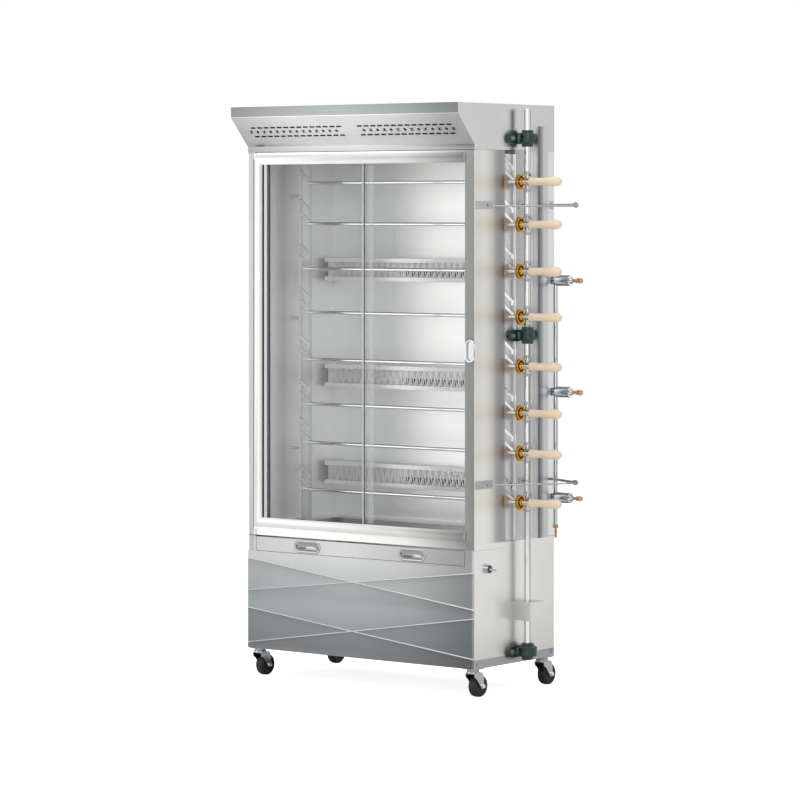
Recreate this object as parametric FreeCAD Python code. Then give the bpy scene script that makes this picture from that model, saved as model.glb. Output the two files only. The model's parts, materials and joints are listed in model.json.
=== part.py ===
"""Vertical rotisserie: a gas roasting cabinet on casters with eight driven spits.

Lengths are millimetres. Everything is drawn in cabinet coordinates: X runs
outwards from the right side wall, Y runs backwards from the front face and Z
runs up from the cabinet's underside. The export moves each piece so that the
origin is on the floor, under the middle of the whole machine.
"""
import FreeCAD
import Part
import math
import os

V = FreeCAD.Vector

# Cabinet
body_width = 1000.0
body_depth = 467.0
body_height = 1915.0
sheet = 1.5
seam = 0.6
base_overhang = 4.5
skirt_height = 30.0
base_top = 346.0
corner_panel_depth = 175.0
corner_panel_rise = 53.0
side_sill_rise = 74.0
left_strip_width = 20.5
tube_size = 24.0
tube_wall = 2.0
tube_drain_radius = 2.5
post_width = 18.0
rear_post_depth = 20.0
post_clearance = 8.0

# Hood
hood_reach = 93.0
hood_lip_height = 37.0
hood_slope_drop = 102.0
hood_band_height = 19.0
hood_front_height = 158.0
vent_pitch = 29.6
vent_length = 22.0
vent_width = 7.0
vent_diamond = 15.0
vent_cross = 18.0
vent_cross_bar = 4.2
vent_row_shares = (0.36, 0.50, 0.65)
vent_row_shifts = (0.0, 10.8, -3.0)
vent_left_inset = 74.6
vent_middle_inset = 51.2
vent_end_margin = 85.0

# Roasting chamber
chamber_left = 29.0
chamber_back_gap = 27.0
chamber_head_gap = 13.0
chamber_floor_rise = 102.0
back_seam_inset = 318.0
chamber_front = 34.0
drain_margin_x = 46.0
drain_margin_y = 36.0
drain_lip = 10.0

# Door leaf
door_side_gap = 1.5
door_left_inset = 27.5
door_rise = 57.0
door_head_gap = 2.0
door_depth = 26.0
door_stile = 40.0
door_rail = 34.0
trim_stile = 36.0
trim_height = 8.0
trim_rise = 28.5
trim_head_gap = 8.0
trim_left_gap = 3.5
trim_edge = 4.0
trim_bevel_outer = 9.0
trim_bevel_inner = 7.0
hinge_y = -2.0
hinge_inset = 6.5
hinge_pin_radius = 2.5
knuckle_radius = 5.0
knuckle_height = 20.0
running_fit = 0.05

# Glass panes in their tracks
glass_thickness = 4.0
glass_tuck = 10.0
track_reach = 26.0
track_fin = 1.5
track_groove = 7.6
track_web = 2.0
jamb_reach = 20.0
pane_overlap = 40.5

# Door pull
pull_width = 40.0
pull_height = 80.0
pull_thickness = 9.0
pull_rim = 8.0
pull_floor = 1.5
pull_centre_z = 1075.0
pull_overhang = 4.0

# Drip drawer
drawer_right = -42.0
drawer_left_inset = 40.0
drawer_height = 49.5
drawer_left_pull = 232.0
drawer_right_pull = 224.0
drawer_depth = 400.0
drawer_side_gap = 6.0
drawer_wall_height = 38.0
drawer_pull_width = 120.0
drawer_pull_height = 46.0
drawer_pull_rim = 9.0
drawer_pull_proud = 3.0
drawer_pull_depth = 12.0
runner_height = 12.0
runner_width = 22.0
drawer_floor_rise = 3.0
drawer_gap = 1.5

# Spits, with the levels of their axes
spit_y = 218.0
spit_shares = (0.9267, 0.8140, 0.6906, 0.5702, 0.4402, 0.3171, 0.2106, 0.0810)
rod_diameter = 12.0
rod_left_end = 12.0
gear_plane_x = 34.0
ferrule_length = 30.0
ferrule_diameter = 19.0
handle_start = 76.0
handle_reach = 205.0
handle_neck_diameter = 29.0
handle_waist_diameter = 25.0
handle_swell_diameter = 33.0
handle_end_diameter = 28.0
handle_tang = 60.0

# Worm and worm gears
gear_module = 1.5
gear_teeth = 34
gear_addendum = 1.2
gear_dedendum = 1.7
gear_face = 10.0
gear_rim = 3.5
gear_web = 4.0
gear_hub_diameter = 22.0
tooth_thickness = 1.7
pressure_angle = 20.0
worm_pitch_radius = 16.0
worm_length = 56.0
worm_collar = 8.0
worm_collar_end = 12.0

# Drive shaft and its bearings
shaft_diameter = 20.0
shaft_foot = 13.0
shaft_head_gap = 16.0
top_bearing_drop = 117.5
middle_bearing_share = 0.5204
foot_bearing_level = 40.0
bearing_base_length = 155.0
bearing_base_width = 38.0
bearing_base_thickness = 12.0
bearing_body_diameters = (52.0, 52.0, 66.0)
bearing_body_width = 33.0
bearing_hub_diameter = 40.0
bearing_hub_width = 57.0
bearing_bolt_offset = 58.0
bearing_bolt_diameter = 10.0

# Upright channel for the wiring
channel_reach = 21.0
channel_depth = 59.0
channel_rear_gap = 67.0
channel_head_gap = 74.0

# Geared motor and its cover
cover_reach = 74.0
cover_width = 77.0
cover_foot = 149.0
cover_height = 64.0
gearbox_size = 48.0
motor_diameter = 78.0
motor_length = 120.0
motor_neck_diameter = 40.0

# Spit rails with their slanting slots
rail_front = 176.0
rail_rear = 233.0
rail_sheet = 2.0
rail_flange = 7.0
rail_head_gap = 12.0
rail_sill_gap = 1.5
left_rail_inset = 100.0
left_rail_flange = 11.0
rail_peg_radius = 4.0
rail_peg_shares = (0.8912, 0.5532, 0.1944)
slot_width = 13.0
slot_clearance = 0.3
slot_drop = 7.0
slot_rise = 34.0
slot_spacing = 43.0

# Burners
burner_height = 82.0
burner_shares = (0.6875, 0.3912, 0.1204)
burner_depth = 74.0
burner_left_gap = 26.0
burner_right = -30.0
burner_lip = 15.0
burner_plate = 2.0
burner_screen_depth = 20.0
burner_v_pitch = 27.0
burner_v_bar = 4.0

# Gas line
gas_pipe_x = 30.0
gas_rear_gap = 34.0
valve_drops = (31.0, 33.0, 48.0)
gas_pipe_diameter = 14.5
valve_union_diameter = 22.0
valve_body_start = 36.0
valve_body_end = 94.0
valve_body_diameter = 37.0
valve_stem_diameter = 9.0
valve_stem_clearance = 0.05
valve_knob_diameter = 20.0
valve_knob_start = 122.0
valve_knob_end = 141.0
gas_pipe_foot = 462.0
nozzle_length = 46.0
nozzle_diameter = 11.0

# Guard arms over the handles
arm_standoff = 32.0
arm_rear_gaps = (19.0, 53.0)
arm_top_drop = 80.0
arm_foot_rise = 68.0
arm_tip_x = 192.0
arm_tip_gap = 142.0
arm_plate_start = 6.0
arm_plate_end = 100.0
arm_plate_height = 28.0
arm_plate_thickness = 3.0
arm_bar_radius = 3.0
arm_front_drop = 3.0
arm_rear_radius = 5.0
arm_nut_across = 18.0
arm_stop_y = 255.0
arm_stop_width = 35.0
arm_bolt_y = 77.0

# Switch
switch_y = 71.5
switch_level = 334.5
switch_diameter = 28.0
switch_depth = 12.0
switch_lever_length = 26.0
switch_spindle_diameter = 8.0

# Casters
caster_height = 100.0
wheel_diameter = 75.0
wheel_width = 32.0
caster_trail = 28.0
caster_inset_x = 30.0
caster_front_y = 32.0
caster_rear_gap = 32.0
caster_plate = 54.0
caster_plate_thickness = 3.0
kingpin_diameter = 10.0
axle_diameter = 8.0
fork_leg = 3.0
fork_gap = 2.0
running_gap = 0.3

# Decorative ribs of the base panel: height at the left end, height at the right end
rib_lines = ((319.0, 200.0), (205.0, 325.0), (144.0, 33.0), (20.0, 171.0))
rib_width = 6.0
rib_height = 2.5

# Places that follow from the sizes
upper_top = body_height - hood_front_height
upper_left = -body_width + base_overhang
hood_band_top = upper_top + hood_band_height
hood_lip_foot = hood_band_top + hood_slope_drop
vent_columns = int((body_width / 2 - vent_end_margin) / vent_pitch)
vent_group_starts = (-body_width + vent_left_inset, -body_width / 2 + vent_middle_inset)
corner_panel_foot = base_top + corner_panel_rise
side_sill = base_top + side_sill_rise
chamber_left_x = -body_width + chamber_left
chamber_back = body_depth - chamber_back_gap
chamber_floor = base_top + chamber_floor_rise
chamber_ceiling = upper_top - chamber_head_gap
back_seam_x = -body_width + back_seam_inset
post_front = door_depth + post_clearance
door_left = -body_width + door_left_inset
door_right = -sheet - door_side_gap
door_foot = base_top + door_rise
door_head = upper_top - door_head_gap
hinge_x = door_left + hinge_inset
trim_left = door_left + trim_left_gap
trim_foot = door_foot + trim_rise
trim_head = door_head - trim_head_gap
opening_left = trim_left + trim_stile
opening_right = -door_stile
opening_foot = trim_foot + door_rail
opening_head = trim_head - door_rail
right_pane_edge = (opening_left + opening_right) / 2
left_pane_edge = right_pane_edge + pane_overlap
drawer_left = -body_width + drawer_left_inset
drawer_foot = base_top + drawer_gap
drawer_head = drawer_foot + drawer_height
drawer_pull_centres = (drawer_left + drawer_left_pull, drawer_right - drawer_right_pull)


def chamber_level(part):
    """Height of a point that lies a given part of the way from the chamber's floor to its ceiling."""
    return chamber_floor + part * (chamber_ceiling - chamber_floor)


spit_levels = tuple(chamber_level(part) for part in spit_shares)
rail_foot = side_sill + rail_sill_gap
rail_head = upper_top - rail_head_gap
left_rail_x = -body_width + left_rail_inset
rail_peg_levels = tuple(chamber_level(part) for part in rail_peg_shares)
burner_levels = tuple(chamber_level(part) for part in burner_shares)
burner_left = chamber_left_x + burner_left_gap
burner_front = chamber_back - burner_depth
gear_pitch_radius = gear_module * gear_teeth / 2
shaft_y = spit_y + gear_pitch_radius + worm_pitch_radius
shaft_top = body_height - shaft_head_gap
bearing_levels = (body_height - top_bearing_drop, chamber_level(middle_bearing_share), foot_bearing_level)
cover_front = shaft_y - cover_width / 2
channel_rear = body_depth - channel_rear_gap
channel_front = channel_rear - channel_depth
channel_head = body_height - channel_head_gap
gas_y = body_depth - gas_rear_gap
valve_levels = tuple(level - drop for level, drop in zip(burner_levels, valve_drops))
arm_tip_y = body_depth - arm_tip_gap
arm_places = ((spit_levels[0] - arm_top_drop, body_depth - arm_rear_gaps[0]),
              (spit_levels[-1] + arm_foot_rise, body_depth - arm_rear_gaps[1]))
caster_rear_y = body_depth - caster_rear_gap
wheel_axis_z = wheel_diameter / 2 - caster_height
rear_reach = caster_rear_y + caster_trail + wheel_diameter / 2
origin_shift = V((body_width - handle_reach) / 2, (hood_reach - rear_reach) / 2, caster_height)


def block(x0, x1, y0, y1, z0, z1):
    """A box between two values on each axis."""
    return Part.makeBox(x1 - x0, y1 - y0, z1 - z0, V(x0, y0, z0))


def bar(start, end, radius):
    """A round bar from one point to another."""
    axis = end - start
    return Part.makeCylinder(radius, axis.Length, start, axis)


def tapered(start, end, radius_start, radius_end):
    """A round bar whose radius changes along its length."""
    axis = end - start
    if abs(radius_start - radius_end) < 1e-6:
        return bar(start, end, radius_start)
    return Part.makeCone(radius_start, radius_end, axis.Length, start, axis)


def face_of(points):
    """A flat face inside a closed outline of corner points."""
    return Part.Face(Part.makePolygon(list(points) + [points[0]]))


def prism(points, direction):
    """The solid swept by a flat outline along a direction."""
    return face_of(points).extrude(direction)


def side_outline(pairs, x):
    """Corner points of an outline given as (Y, Z) pairs, at one X."""
    return [V(x, y, z) for y, z in pairs]


def front_outline(pairs, y):
    """Corner points of an outline given as (X, Z) pairs, at one Y."""
    return [V(x, y, z) for x, z in pairs]


def stadium(centre_x, centre_z, width, height, y, depth):
    """A slab with half-round ends that faces the front."""
    radius = min(width, height) / 2
    reach_x = width / 2 - radius
    reach_z = height / 2 - radius
    slab = block(centre_x - reach_x - (radius if reach_x == 0 else 0),
                 centre_x + reach_x + (radius if reach_x == 0 else 0),
                 y, y + depth,
                 centre_z - reach_z - (radius if reach_x > 0 else 0),
                 centre_z + reach_z + (radius if reach_x > 0 else 0))
    ends = []
    for sign in (-1, 1):
        foot = V(centre_x + sign * reach_x, y, centre_z + sign * reach_z)
        ends.append(Part.makeCylinder(radius, depth, foot, V(0, 1, 0)))
    return slab.multiFuse(ends).removeSplitter()


def box_tube(x0, x1, y0, y1, z0, z1, along):
    """A square tube that is open at both ends, along X, Y or Z."""
    wall = {"x": (0, tube_wall, tube_wall), "y": (tube_wall, 0, tube_wall), "z": (tube_wall, tube_wall, 0)}[along]
    bore = block(x0 + wall[0], x1 - wall[0], y0 + wall[1], y1 - wall[1], z0 + wall[2], z1 - wall[2])
    return block(x0, x1, y0, y1, z0, z1).cut(bore)


def capped(tube):
    """A tube along X with a drilled plate welded into each end."""
    box = tube.BoundBox
    low = (box.YMin + tube_wall, box.ZMin + tube_wall)
    high = (box.YMax - tube_wall, box.ZMax - tube_wall)
    caps = [block(x, x + tube_wall, low[0], high[0], low[1], high[1]) for x in (box.XMin, box.XMax - tube_wall)]
    middle = V(box.XMin - 1, (box.YMin + box.YMax) / 2, (box.ZMin + box.ZMax) / 2)
    drain = bar(middle, middle + V(box.XLength + 2, 0, 0), tube_drain_radius)
    return tube.multiFuse(caps).removeSplitter().cut(drain)


def hexagon(centre, across, height, direction):
    """A hexagonal nut or bolt head that starts at a point and grows along a direction."""
    radius = across / math.sqrt(3)
    corners = []
    for step in range(6):
        angle = math.radians(60 * step + 30)
        corners.append(V(radius * math.cos(angle), radius * math.sin(angle), 0))
    head = prism(corners, V(0, 0, height))
    head.Placement = FreeCAD.Placement(centre, FreeCAD.Rotation(V(0, 0, 1), direction))
    return head


def cabinet_frame():
    """Bottom rails, posts, cross rails, hinge pins, drawer runners and caster plates."""
    left = -body_width + sheet
    right = -sheet
    front = sheet
    rear = body_depth - sheet
    size = tube_size
    pieces = [
        capped(box_tube(left, right, front, front + size, 0, skirt_height, "x")),
        capped(box_tube(left, right, rear - size, rear, 0, skirt_height, "x")),
        box_tube(left, left + size, front + size, rear - size, 0, skirt_height, "y"),
        box_tube(right - size, right, front + size, rear - size, 0, skirt_height, "y"),
        block(left, right, front, rear, skirt_height, skirt_height + sheet),
    ]
    post_foot = skirt_height + sheet
    inner_left = upper_left + sheet
    for x0 in (inner_left, right - post_width):
        x1 = x0 + post_width
        pieces.append(box_tube(x0, x1, post_front, post_front + size, post_foot, upper_top, "z"))
        pieces.append(box_tube(x0, x1, rear - rear_post_depth, rear, post_foot, upper_top, "z"))
    ledge_top = drawer_foot + drawer_floor_rise - running_gap
    ledges = ((inner_left + post_width, drawer_left + runner_width),
              (drawer_right - runner_width, right - post_width))
    for x0, x1 in ledges:
        pieces.append(block(x0, x1, post_front, rear - rear_post_depth, ledge_top - runner_height, ledge_top))
    pieces.extend(hinge_supports())
    for x in (-caster_inset_x, -body_width + caster_inset_x):
        for y in (caster_front_y, caster_rear_y):
            half = caster_plate / 2
            plate = block(x - half, x + half, y - half + 4, y + half, -caster_plate_thickness, 0)
            pin = bar(V(x, y, 0), V(x, y, -caster_plate_thickness - 14), kingpin_diameter / 2)
            pieces.append(plate.fuse(pin))
    return pieces


def hinge_supports():
    """Tabs on the cabinet with the two pins that the door leaf turns on."""
    tab_left = upper_left + sheet
    supports = []
    ends = ((corner_panel_foot, door_foot + knuckle_height), (upper_top - sheet, door_head - knuckle_height))
    for tab_z, pin_z in ends:
        tab = block(tab_left, hinge_x + knuckle_radius, hinge_y - knuckle_radius, post_front, tab_z, tab_z + sheet)
        pin = bar(V(hinge_x, hinge_y, tab_z), V(hinge_x, hinge_y, pin_z), hinge_pin_radius)
        supports.append(tab.fuse(pin).removeSplitter())
    return supports


def base_panel():
    """The front sheet of the base, with crossing pressed ribs."""
    panel = block(-body_width, -sheet, 0, sheet, 0, base_top)
    top_flange = block(-body_width + sheet, -sheet, sheet, door_depth, base_top - sheet, base_top)
    strip_end = upper_left + left_strip_width
    upstands = [
        block(strip_end + seam, drawer_left - drawer_gap, 0, sheet, base_top, corner_panel_foot - seam),
        block(drawer_right + drawer_gap, -sheet, 0, sheet, base_top, door_foot - drawer_gap),
    ]
    ribs = []
    for left_z, right_z in rib_lines:
        start = V(-body_width, 0, left_z)
        end = V(-sheet, 0, right_z)
        along = end - start
        across = V(-along.z, 0, along.x).normalize() * (rib_width / 2)
        root = V(0, sheet / 2, 0)
        ribs.append(prism([start - across + root, start + across + root, start - V(0, rib_height, 0)], along))
    window = block(-body_width, -sheet, -rib_height, sheet, 0, base_top)
    pressed = [rib.common(window) for rib in ribs]
    return [panel.multiFuse([top_flange] + upstands + pressed)]


def side_panel_left():
    """The left skin: a wide lower sheet and a narrower upper sheet with its front strip."""
    rear = body_depth - sheet - seam
    lower = block(-body_width, -body_width + sheet, sheet, rear, 0, base_top)
    shelf = block(-body_width + sheet, upper_left + sheet, door_depth + 1, rear, base_top - sheet, base_top)
    upper = block(upper_left, upper_left + sheet, 0, rear, base_top + seam, upper_top - seam)
    strip = block(upper_left + sheet, upper_left + left_strip_width, 0, sheet, base_top + seam, upper_top - seam)
    notches = []
    strip_end = upper_left + left_strip_width
    for z in (corner_panel_foot, upper_top - sheet):
        notches.append(block(upper_left + sheet, strip_end + 1, -1, door_depth, z - 1, z + sheet + 1))
    return [lower.fuse(shelf).removeSplitter(), upper.fuse(strip).cut(Part.makeCompound(notches)).removeSplitter()]


def side_panel_right():
    """The right skin: lower sheet, corner sheet, recess sheet, rear sheet and the upright channel."""
    rear = body_depth - sheet - seam
    front = seam
    outline = [(front, skirt_height), (rear, skirt_height), (rear, side_sill), (corner_panel_depth + seam, side_sill),
               (corner_panel_depth + seam, corner_panel_foot), (front, corner_panel_foot)]
    lower = prism(side_outline(outline, -sheet), V(sheet, 0, 0))
    neck = bar(V(-20, shaft_y, cover_foot + cover_height / 2), V(20, shaft_y, cover_foot + cover_height / 2),
               motor_neck_diameter / 2 + 1)
    spindle = bar(V(-20, switch_y, switch_level), V(20, switch_y, switch_level),
                  switch_spindle_diameter / 2 + running_fit)
    lower = lower.cut(neck).cut(spindle)
    corner = block(-sheet, 0, front, corner_panel_depth, corner_panel_foot + seam, upper_top - seam)
    recess = block(-sheet, 0, rail_rear + seam, channel_front - 1, side_sill + seam, upper_top - seam)
    back = block(-sheet, 0, channel_front - 1 + seam, rear, side_sill + seam, upper_top - seam)
    return [lower, corner, recess, back] + upright_channel()


def upright_channel():
    """The wiring channel that stands on the side wall behind the drive shaft."""
    foot = side_sill + seam
    outer = block(0, channel_reach, channel_front, channel_rear, foot, channel_head)
    hollow = block(-1, channel_reach - sheet, channel_front + sheet, channel_rear - sheet,
                   foot + sheet, channel_head - sheet)
    return [outer.cut(hollow)]


def back_panel():
    """The rear skin."""
    return [block(-body_width + sheet, -seam, body_depth - sheet, body_depth, 0, upper_top - seam)]


def hood():
    """The folded top hood with its slanting vented front."""
    slope_length = math.hypot(hood_reach, hood_slope_drop)
    fold_rise = sheet * (slope_length - hood_slope_drop) / hood_reach
    outer = [(0, upper_top), (0, hood_band_top), (-hood_reach, hood_lip_foot), (-hood_reach, body_height),
             (body_depth, body_height), (body_depth, upper_top)]
    inner = [(sheet, upper_top - 1), (sheet, hood_band_top + fold_rise), (sheet - hood_reach, hood_lip_foot + fold_rise),
             (sheet - hood_reach, body_height - sheet), (body_depth - sheet, body_height - sheet),
             (body_depth - sheet, upper_top - 1)]
    folded = prism(side_outline(outer, -body_width), V(body_width, 0, 0))
    hollow = prism(side_outline(inner, -body_width + sheet), V(body_width - 2 * sheet, 0, 0))
    return [folded.cut(hollow).cut(hood_vents())]


def hood_vents():
    """Cutting tools for the vents: dashes in two rows and diamonds between them."""
    run = V(0, hood_reach, -hood_slope_drop)
    down = V(run).normalize()
    inward = V(0, hood_slope_drop, hood_reach).normalize()
    depth = inward * (sheet + 2)
    tools = []
    for group, start in enumerate(vent_group_starts):
        for row, share in enumerate(vent_row_shares):
            first = -1 if row == 1 and group == 0 else 0
            for column in range(first, first + vent_columns):
                middle_x = start + column * vent_pitch + vent_row_shifts[row]
                centre = V(middle_x, -hood_reach, hood_lip_foot) + down * (run.Length * share) - inward
                if row != 1:
                    tools.append(prism(slot_corners(centre, V(vent_length / 2, 0, 0), down * vent_width / 2), depth))
                elif column % 2 == 0:
                    wide = V(vent_diamond / 2, 0, 0)
                    tall = down * (vent_diamond / 2)
                    tools.append(prism([centre - wide, centre - tall, centre + wide, centre + tall], depth))
                else:
                    slant = (V(1, 0, 0) + down).normalize()
                    other = (V(1, 0, 0) - down).normalize()
                    long_half, short_half = vent_cross / 2, vent_cross_bar / 2
                    first_bar = prism(slot_corners(centre, slant * long_half, other * short_half), depth)
                    second_bar = prism(slot_corners(centre, other * long_half, slant * short_half), depth)
                    tools.append(first_bar.fuse(second_bar).removeSplitter())
    return Part.makeCompound(tools)


def slot_corners(centre, wide, tall):
    """The four corners of a slot about a centre, from its two half sides."""
    return [centre - wide - tall, centre + wide - tall, centre + wide + tall, centre - wide + tall]


def chamber_liner():
    """The inner walls of the roasting chamber, with a drain opening in its floor."""
    wall = sheet
    left = chamber_left_x
    right = -sheet - post_width - seam
    back = chamber_back
    left_wall = block(left, left + wall, chamber_front + tube_size + 1, back, chamber_floor, chamber_ceiling)
    back_left = block(left + wall, back_seam_x - seam / 2, back, back + wall, chamber_floor, chamber_ceiling)
    back_right = block(back_seam_x + seam / 2, right, back, back + wall, chamber_floor, chamber_ceiling)
    ceiling = block(left + wall, right, chamber_front, back - seam, chamber_ceiling, chamber_ceiling + wall)
    floor = block(left + wall, right, chamber_front, back - seam, chamber_floor, chamber_floor + wall)
    drain = (left + wall + drain_margin_x, right - drain_margin_x,
             chamber_front + drain_margin_y, back - drain_margin_y)
    hole = block(drain[0], drain[1], drain[2], drain[3], chamber_floor - 20, chamber_floor + 20)
    lip = block(drain[0] - wall, drain[1] + wall, drain[2] - wall, drain[3] + wall,
                chamber_floor - drain_lip, chamber_floor)
    floor = floor.fuse(lip).cut(hole).removeSplitter()
    sill = block(left + wall, right, chamber_front - 4, chamber_front - seam, drawer_head + 6, chamber_floor)
    return [left_wall, back_left, back_right, ceiling, floor, sill]


def door_frame():
    """The door leaf: a folded steel pan, bevelled trim on three sides and a plain right stile."""
    left = door_left
    right = door_right
    opening = (opening_left, opening_right, opening_foot, opening_head)
    face = block(left, right, 0, sheet, door_foot, door_head)
    face = face.cut(block(opening[0], opening[1], -1, sheet + 1, opening[2], opening[3]))
    edges = [
        block(left, left + sheet, sheet, door_depth, door_foot, door_head),
        block(right - sheet, right, sheet, door_depth, door_foot, door_head),
        block(left + sheet, right - sheet, sheet, door_depth, door_foot, door_foot + sheet),
        block(left + sheet, right - sheet, sheet, door_depth, door_head - sheet, door_head),
    ]
    pan = face.multiFuse(edges)
    pins = [
        bar(V(hinge_x, hinge_y, door_foot - 1), V(hinge_x, hinge_y, door_foot + knuckle_height + 1),
            hinge_pin_radius + running_fit),
        bar(V(hinge_x, hinge_y, door_head + 1), V(hinge_x, hinge_y, door_head - knuckle_height - 1),
            hinge_pin_radius + running_fit),
    ]
    knuckles = [
        bar(V(hinge_x, hinge_y, door_foot), V(hinge_x, hinge_y, door_foot + knuckle_height + 2), knuckle_radius),
        bar(V(hinge_x, hinge_y, door_head), V(hinge_x, hinge_y, door_head - knuckle_height - 2), knuckle_radius),
    ]
    leaf = pan.multiFuse(knuckles + door_trim())
    return [leaf.cut(Part.makeCompound(pins))]


def trim_section(width):
    """Outline of the bevelled moulding: pairs of (distance across, height)."""
    return [(0, 0), (0, trim_edge), (trim_bevel_outer, trim_height), (width - trim_bevel_inner, trim_height),
            (width, trim_edge), (width, 0)]


def mitre(corners):
    """A tool that cuts a moulding along an outline of (X, Z) corners."""
    return prism(front_outline(corners, -2 * trim_height), V(0, 3 * trim_height, 0))


def door_trim():
    """Bevelled mouldings along the left, top and bottom of the glass, mitred at the left corners."""
    width_stile = opening_left - trim_left
    x_out, x_in = trim_left, opening_left
    top, foot = trim_head, trim_foot
    stile = prism([V(x_out + a, -h, foot) for a, h in trim_section(width_stile)], V(0, 0, top - foot))
    stile = stile.cut(mitre([(x_out, top), (x_in, top - door_rail), (x_in, top + 1), (x_out, top + 1)]))
    stile = stile.cut(mitre([(x_out, foot), (x_in, foot + door_rail), (x_in, foot - 1), (x_out, foot - 1)]))
    along = V(opening_right - x_out, 0, 0)
    upper = prism([V(x_out, -h, top - a) for a, h in trim_section(door_rail)], along)
    lower = prism([V(x_out, -h, foot + a) for a, h in trim_section(door_rail)], along)
    upper = upper.cut(mitre([(x_out, top), (x_in, top - door_rail), (x_out, top - door_rail - 1)]))
    lower = lower.cut(mitre([(x_out, foot), (x_in, foot + door_rail), (x_out, foot + door_rail + 1)]))
    return [stile, upper, lower]


def track_rows():
    """The three Y values where the fins of each glass track start, front to back."""
    first = sheet
    pitch = track_fin + track_groove
    return (first, first + pitch, first + 2 * pitch)


def glass_row(index):
    """The Y range of the pane that runs in a groove: 0 is the front groove."""
    groove_start = track_rows()[index] + track_fin
    middle = groove_start + track_groove / 2
    return (middle - glass_thickness / 2, middle + glass_thickness / 2)


def glass_tracks():
    """Double-grooved channels along the top, the bottom and both jambs of the leaf."""
    rows = track_rows()
    depth_end = rows[2] + track_fin
    left = opening_left - 4
    right = opening_right + 16
    foot = opening_foot - track_reach
    head = opening_head + track_reach
    span_x = (left + jamb_reach + 4 + seam, right - seam)
    web_thickness = track_web
    tracks = []
    bottom = [block(span_x[0], span_x[1], rows[0], depth_end, foot, foot + web_thickness)]
    top = [block(span_x[0], span_x[1], rows[0], depth_end, head - web_thickness, head)]
    for y in rows:
        bottom.append(block(span_x[0], span_x[1], y, y + track_fin, foot, opening_foot - 5))
        top.append(block(span_x[0], span_x[1], y, y + track_fin, opening_head + 5, head))
    tracks.append(bottom[0].multiFuse(bottom[1:]).removeSplitter())
    tracks.append(top[0].multiFuse(top[1:]).removeSplitter())
    jamb = [block(left, left + web_thickness, rows[0], depth_end, foot, head)]
    shut = [block(right, right + web_thickness, rows[0], depth_end, foot, head)]
    for y in rows:
        jamb.append(block(left, left + jamb_reach + 4, y, y + track_fin, foot, head))
        shut.append(block(right - 8, right, y, y + track_fin, foot + 30, head - 30))
    tracks.append(jamb[0].multiFuse(jamb[1:]).removeSplitter())
    tracks.append(shut[0].multiFuse(shut[1:]).removeSplitter())
    return tracks


def pane(x0, x1, row):
    """A glass pane that stands in one groove of the tracks."""
    y0, y1 = glass_row(row)
    seat = opening_foot - track_reach + track_web + running_gap
    return [block(x0, x1, y0, y1, seat, opening_head + glass_tuck)]


def door_pull():
    """The long oval cup pull on the right stile, just past the corner."""
    centre_x = pull_overhang - pull_width / 2
    outer = stadium(centre_x, pull_centre_z, pull_width, pull_height, -pull_thickness, pull_thickness)
    inner = stadium(centre_x, pull_centre_z, pull_width - 2 * pull_rim, pull_height - 2 * pull_rim,
                    -pull_thickness, pull_thickness - pull_floor)
    return [outer.cut(inner)]


def drip_drawer():
    """The drip drawer: a folded tray behind a front with two openings for the cup pulls."""
    front = block(drawer_left, drawer_right, 0, sheet, drawer_foot, drawer_head)
    side_left = drawer_left + drawer_side_gap + 4
    side_right = drawer_right - drawer_side_gap - 4
    floor_z = drawer_foot + drawer_floor_rise
    outer = block(side_left, side_right, sheet, drawer_depth, floor_z, floor_z + drawer_wall_height)
    inner = block(side_left + sheet, side_right - sheet, sheet + drawer_pull_depth + 4, drawer_depth - sheet,
                  floor_z + sheet, floor_z + drawer_wall_height + 1)
    hollow = block(side_left + sheet, side_right - sheet, sheet, sheet + drawer_pull_depth + 4 - sheet,
                   floor_z - 1, floor_z + drawer_wall_height + 1)
    solid = front.fuse(outer.cut(inner).cut(hollow))
    cups = []
    mid_z = (drawer_foot + drawer_head) / 2
    for x in drawer_pull_centres:
        cups.append(stadium(x, mid_z, drawer_pull_width - drawer_pull_rim, drawer_pull_height - drawer_pull_rim,
                            -1, sheet + 2))
    return [solid.cut(Part.makeCompound(cups))]


def drawer_pulls():
    """Two oval cup pulls let into the drawer front."""
    mid_z = (drawer_foot + drawer_head) / 2
    rim = drawer_pull_rim
    pulls = []
    for x in drawer_pull_centres:
        bezel = stadium(x, mid_z, drawer_pull_width, drawer_pull_height, -drawer_pull_proud, drawer_pull_proud)
        cup = stadium(x, mid_z, drawer_pull_width - rim - 0.4, drawer_pull_height - rim - 0.4,
                      0, drawer_pull_depth)
        recess = stadium(x, mid_z, drawer_pull_width - 2 * rim, drawer_pull_height - 2 * rim,
                         -drawer_pull_proud, drawer_pull_proud + drawer_pull_depth - sheet)
        pulls.append(bezel.fuse(cup).cut(recess))
    return pulls


def slot_tool(seat_z, x0, x1):
    """A slanting slot open to the front that ends in a short drop with a round seat."""
    radius = rod_diameter / 2 + slot_clearance
    half = slot_width / 2
    drop_top = seat_z + slot_drop
    run = spit_y - rail_front + 6
    rise = slot_rise
    outline = [
        (spit_y - radius, seat_z), (spit_y + radius, seat_z), (spit_y + radius, drop_top + half),
        (rail_front - 6, drop_top + rise + half + 2), (rail_front - 6, drop_top + rise - half - 2),
        (spit_y - radius, drop_top - 2 + (radius * rise / run)),
    ]
    channel = prism(side_outline(outline, x0), V(x1 - x0, 0, 0))
    seat = bar(V(x0, spit_y, seat_z), V(x1, spit_y, seat_z), radius)
    return channel.fuse(seat)


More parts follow.
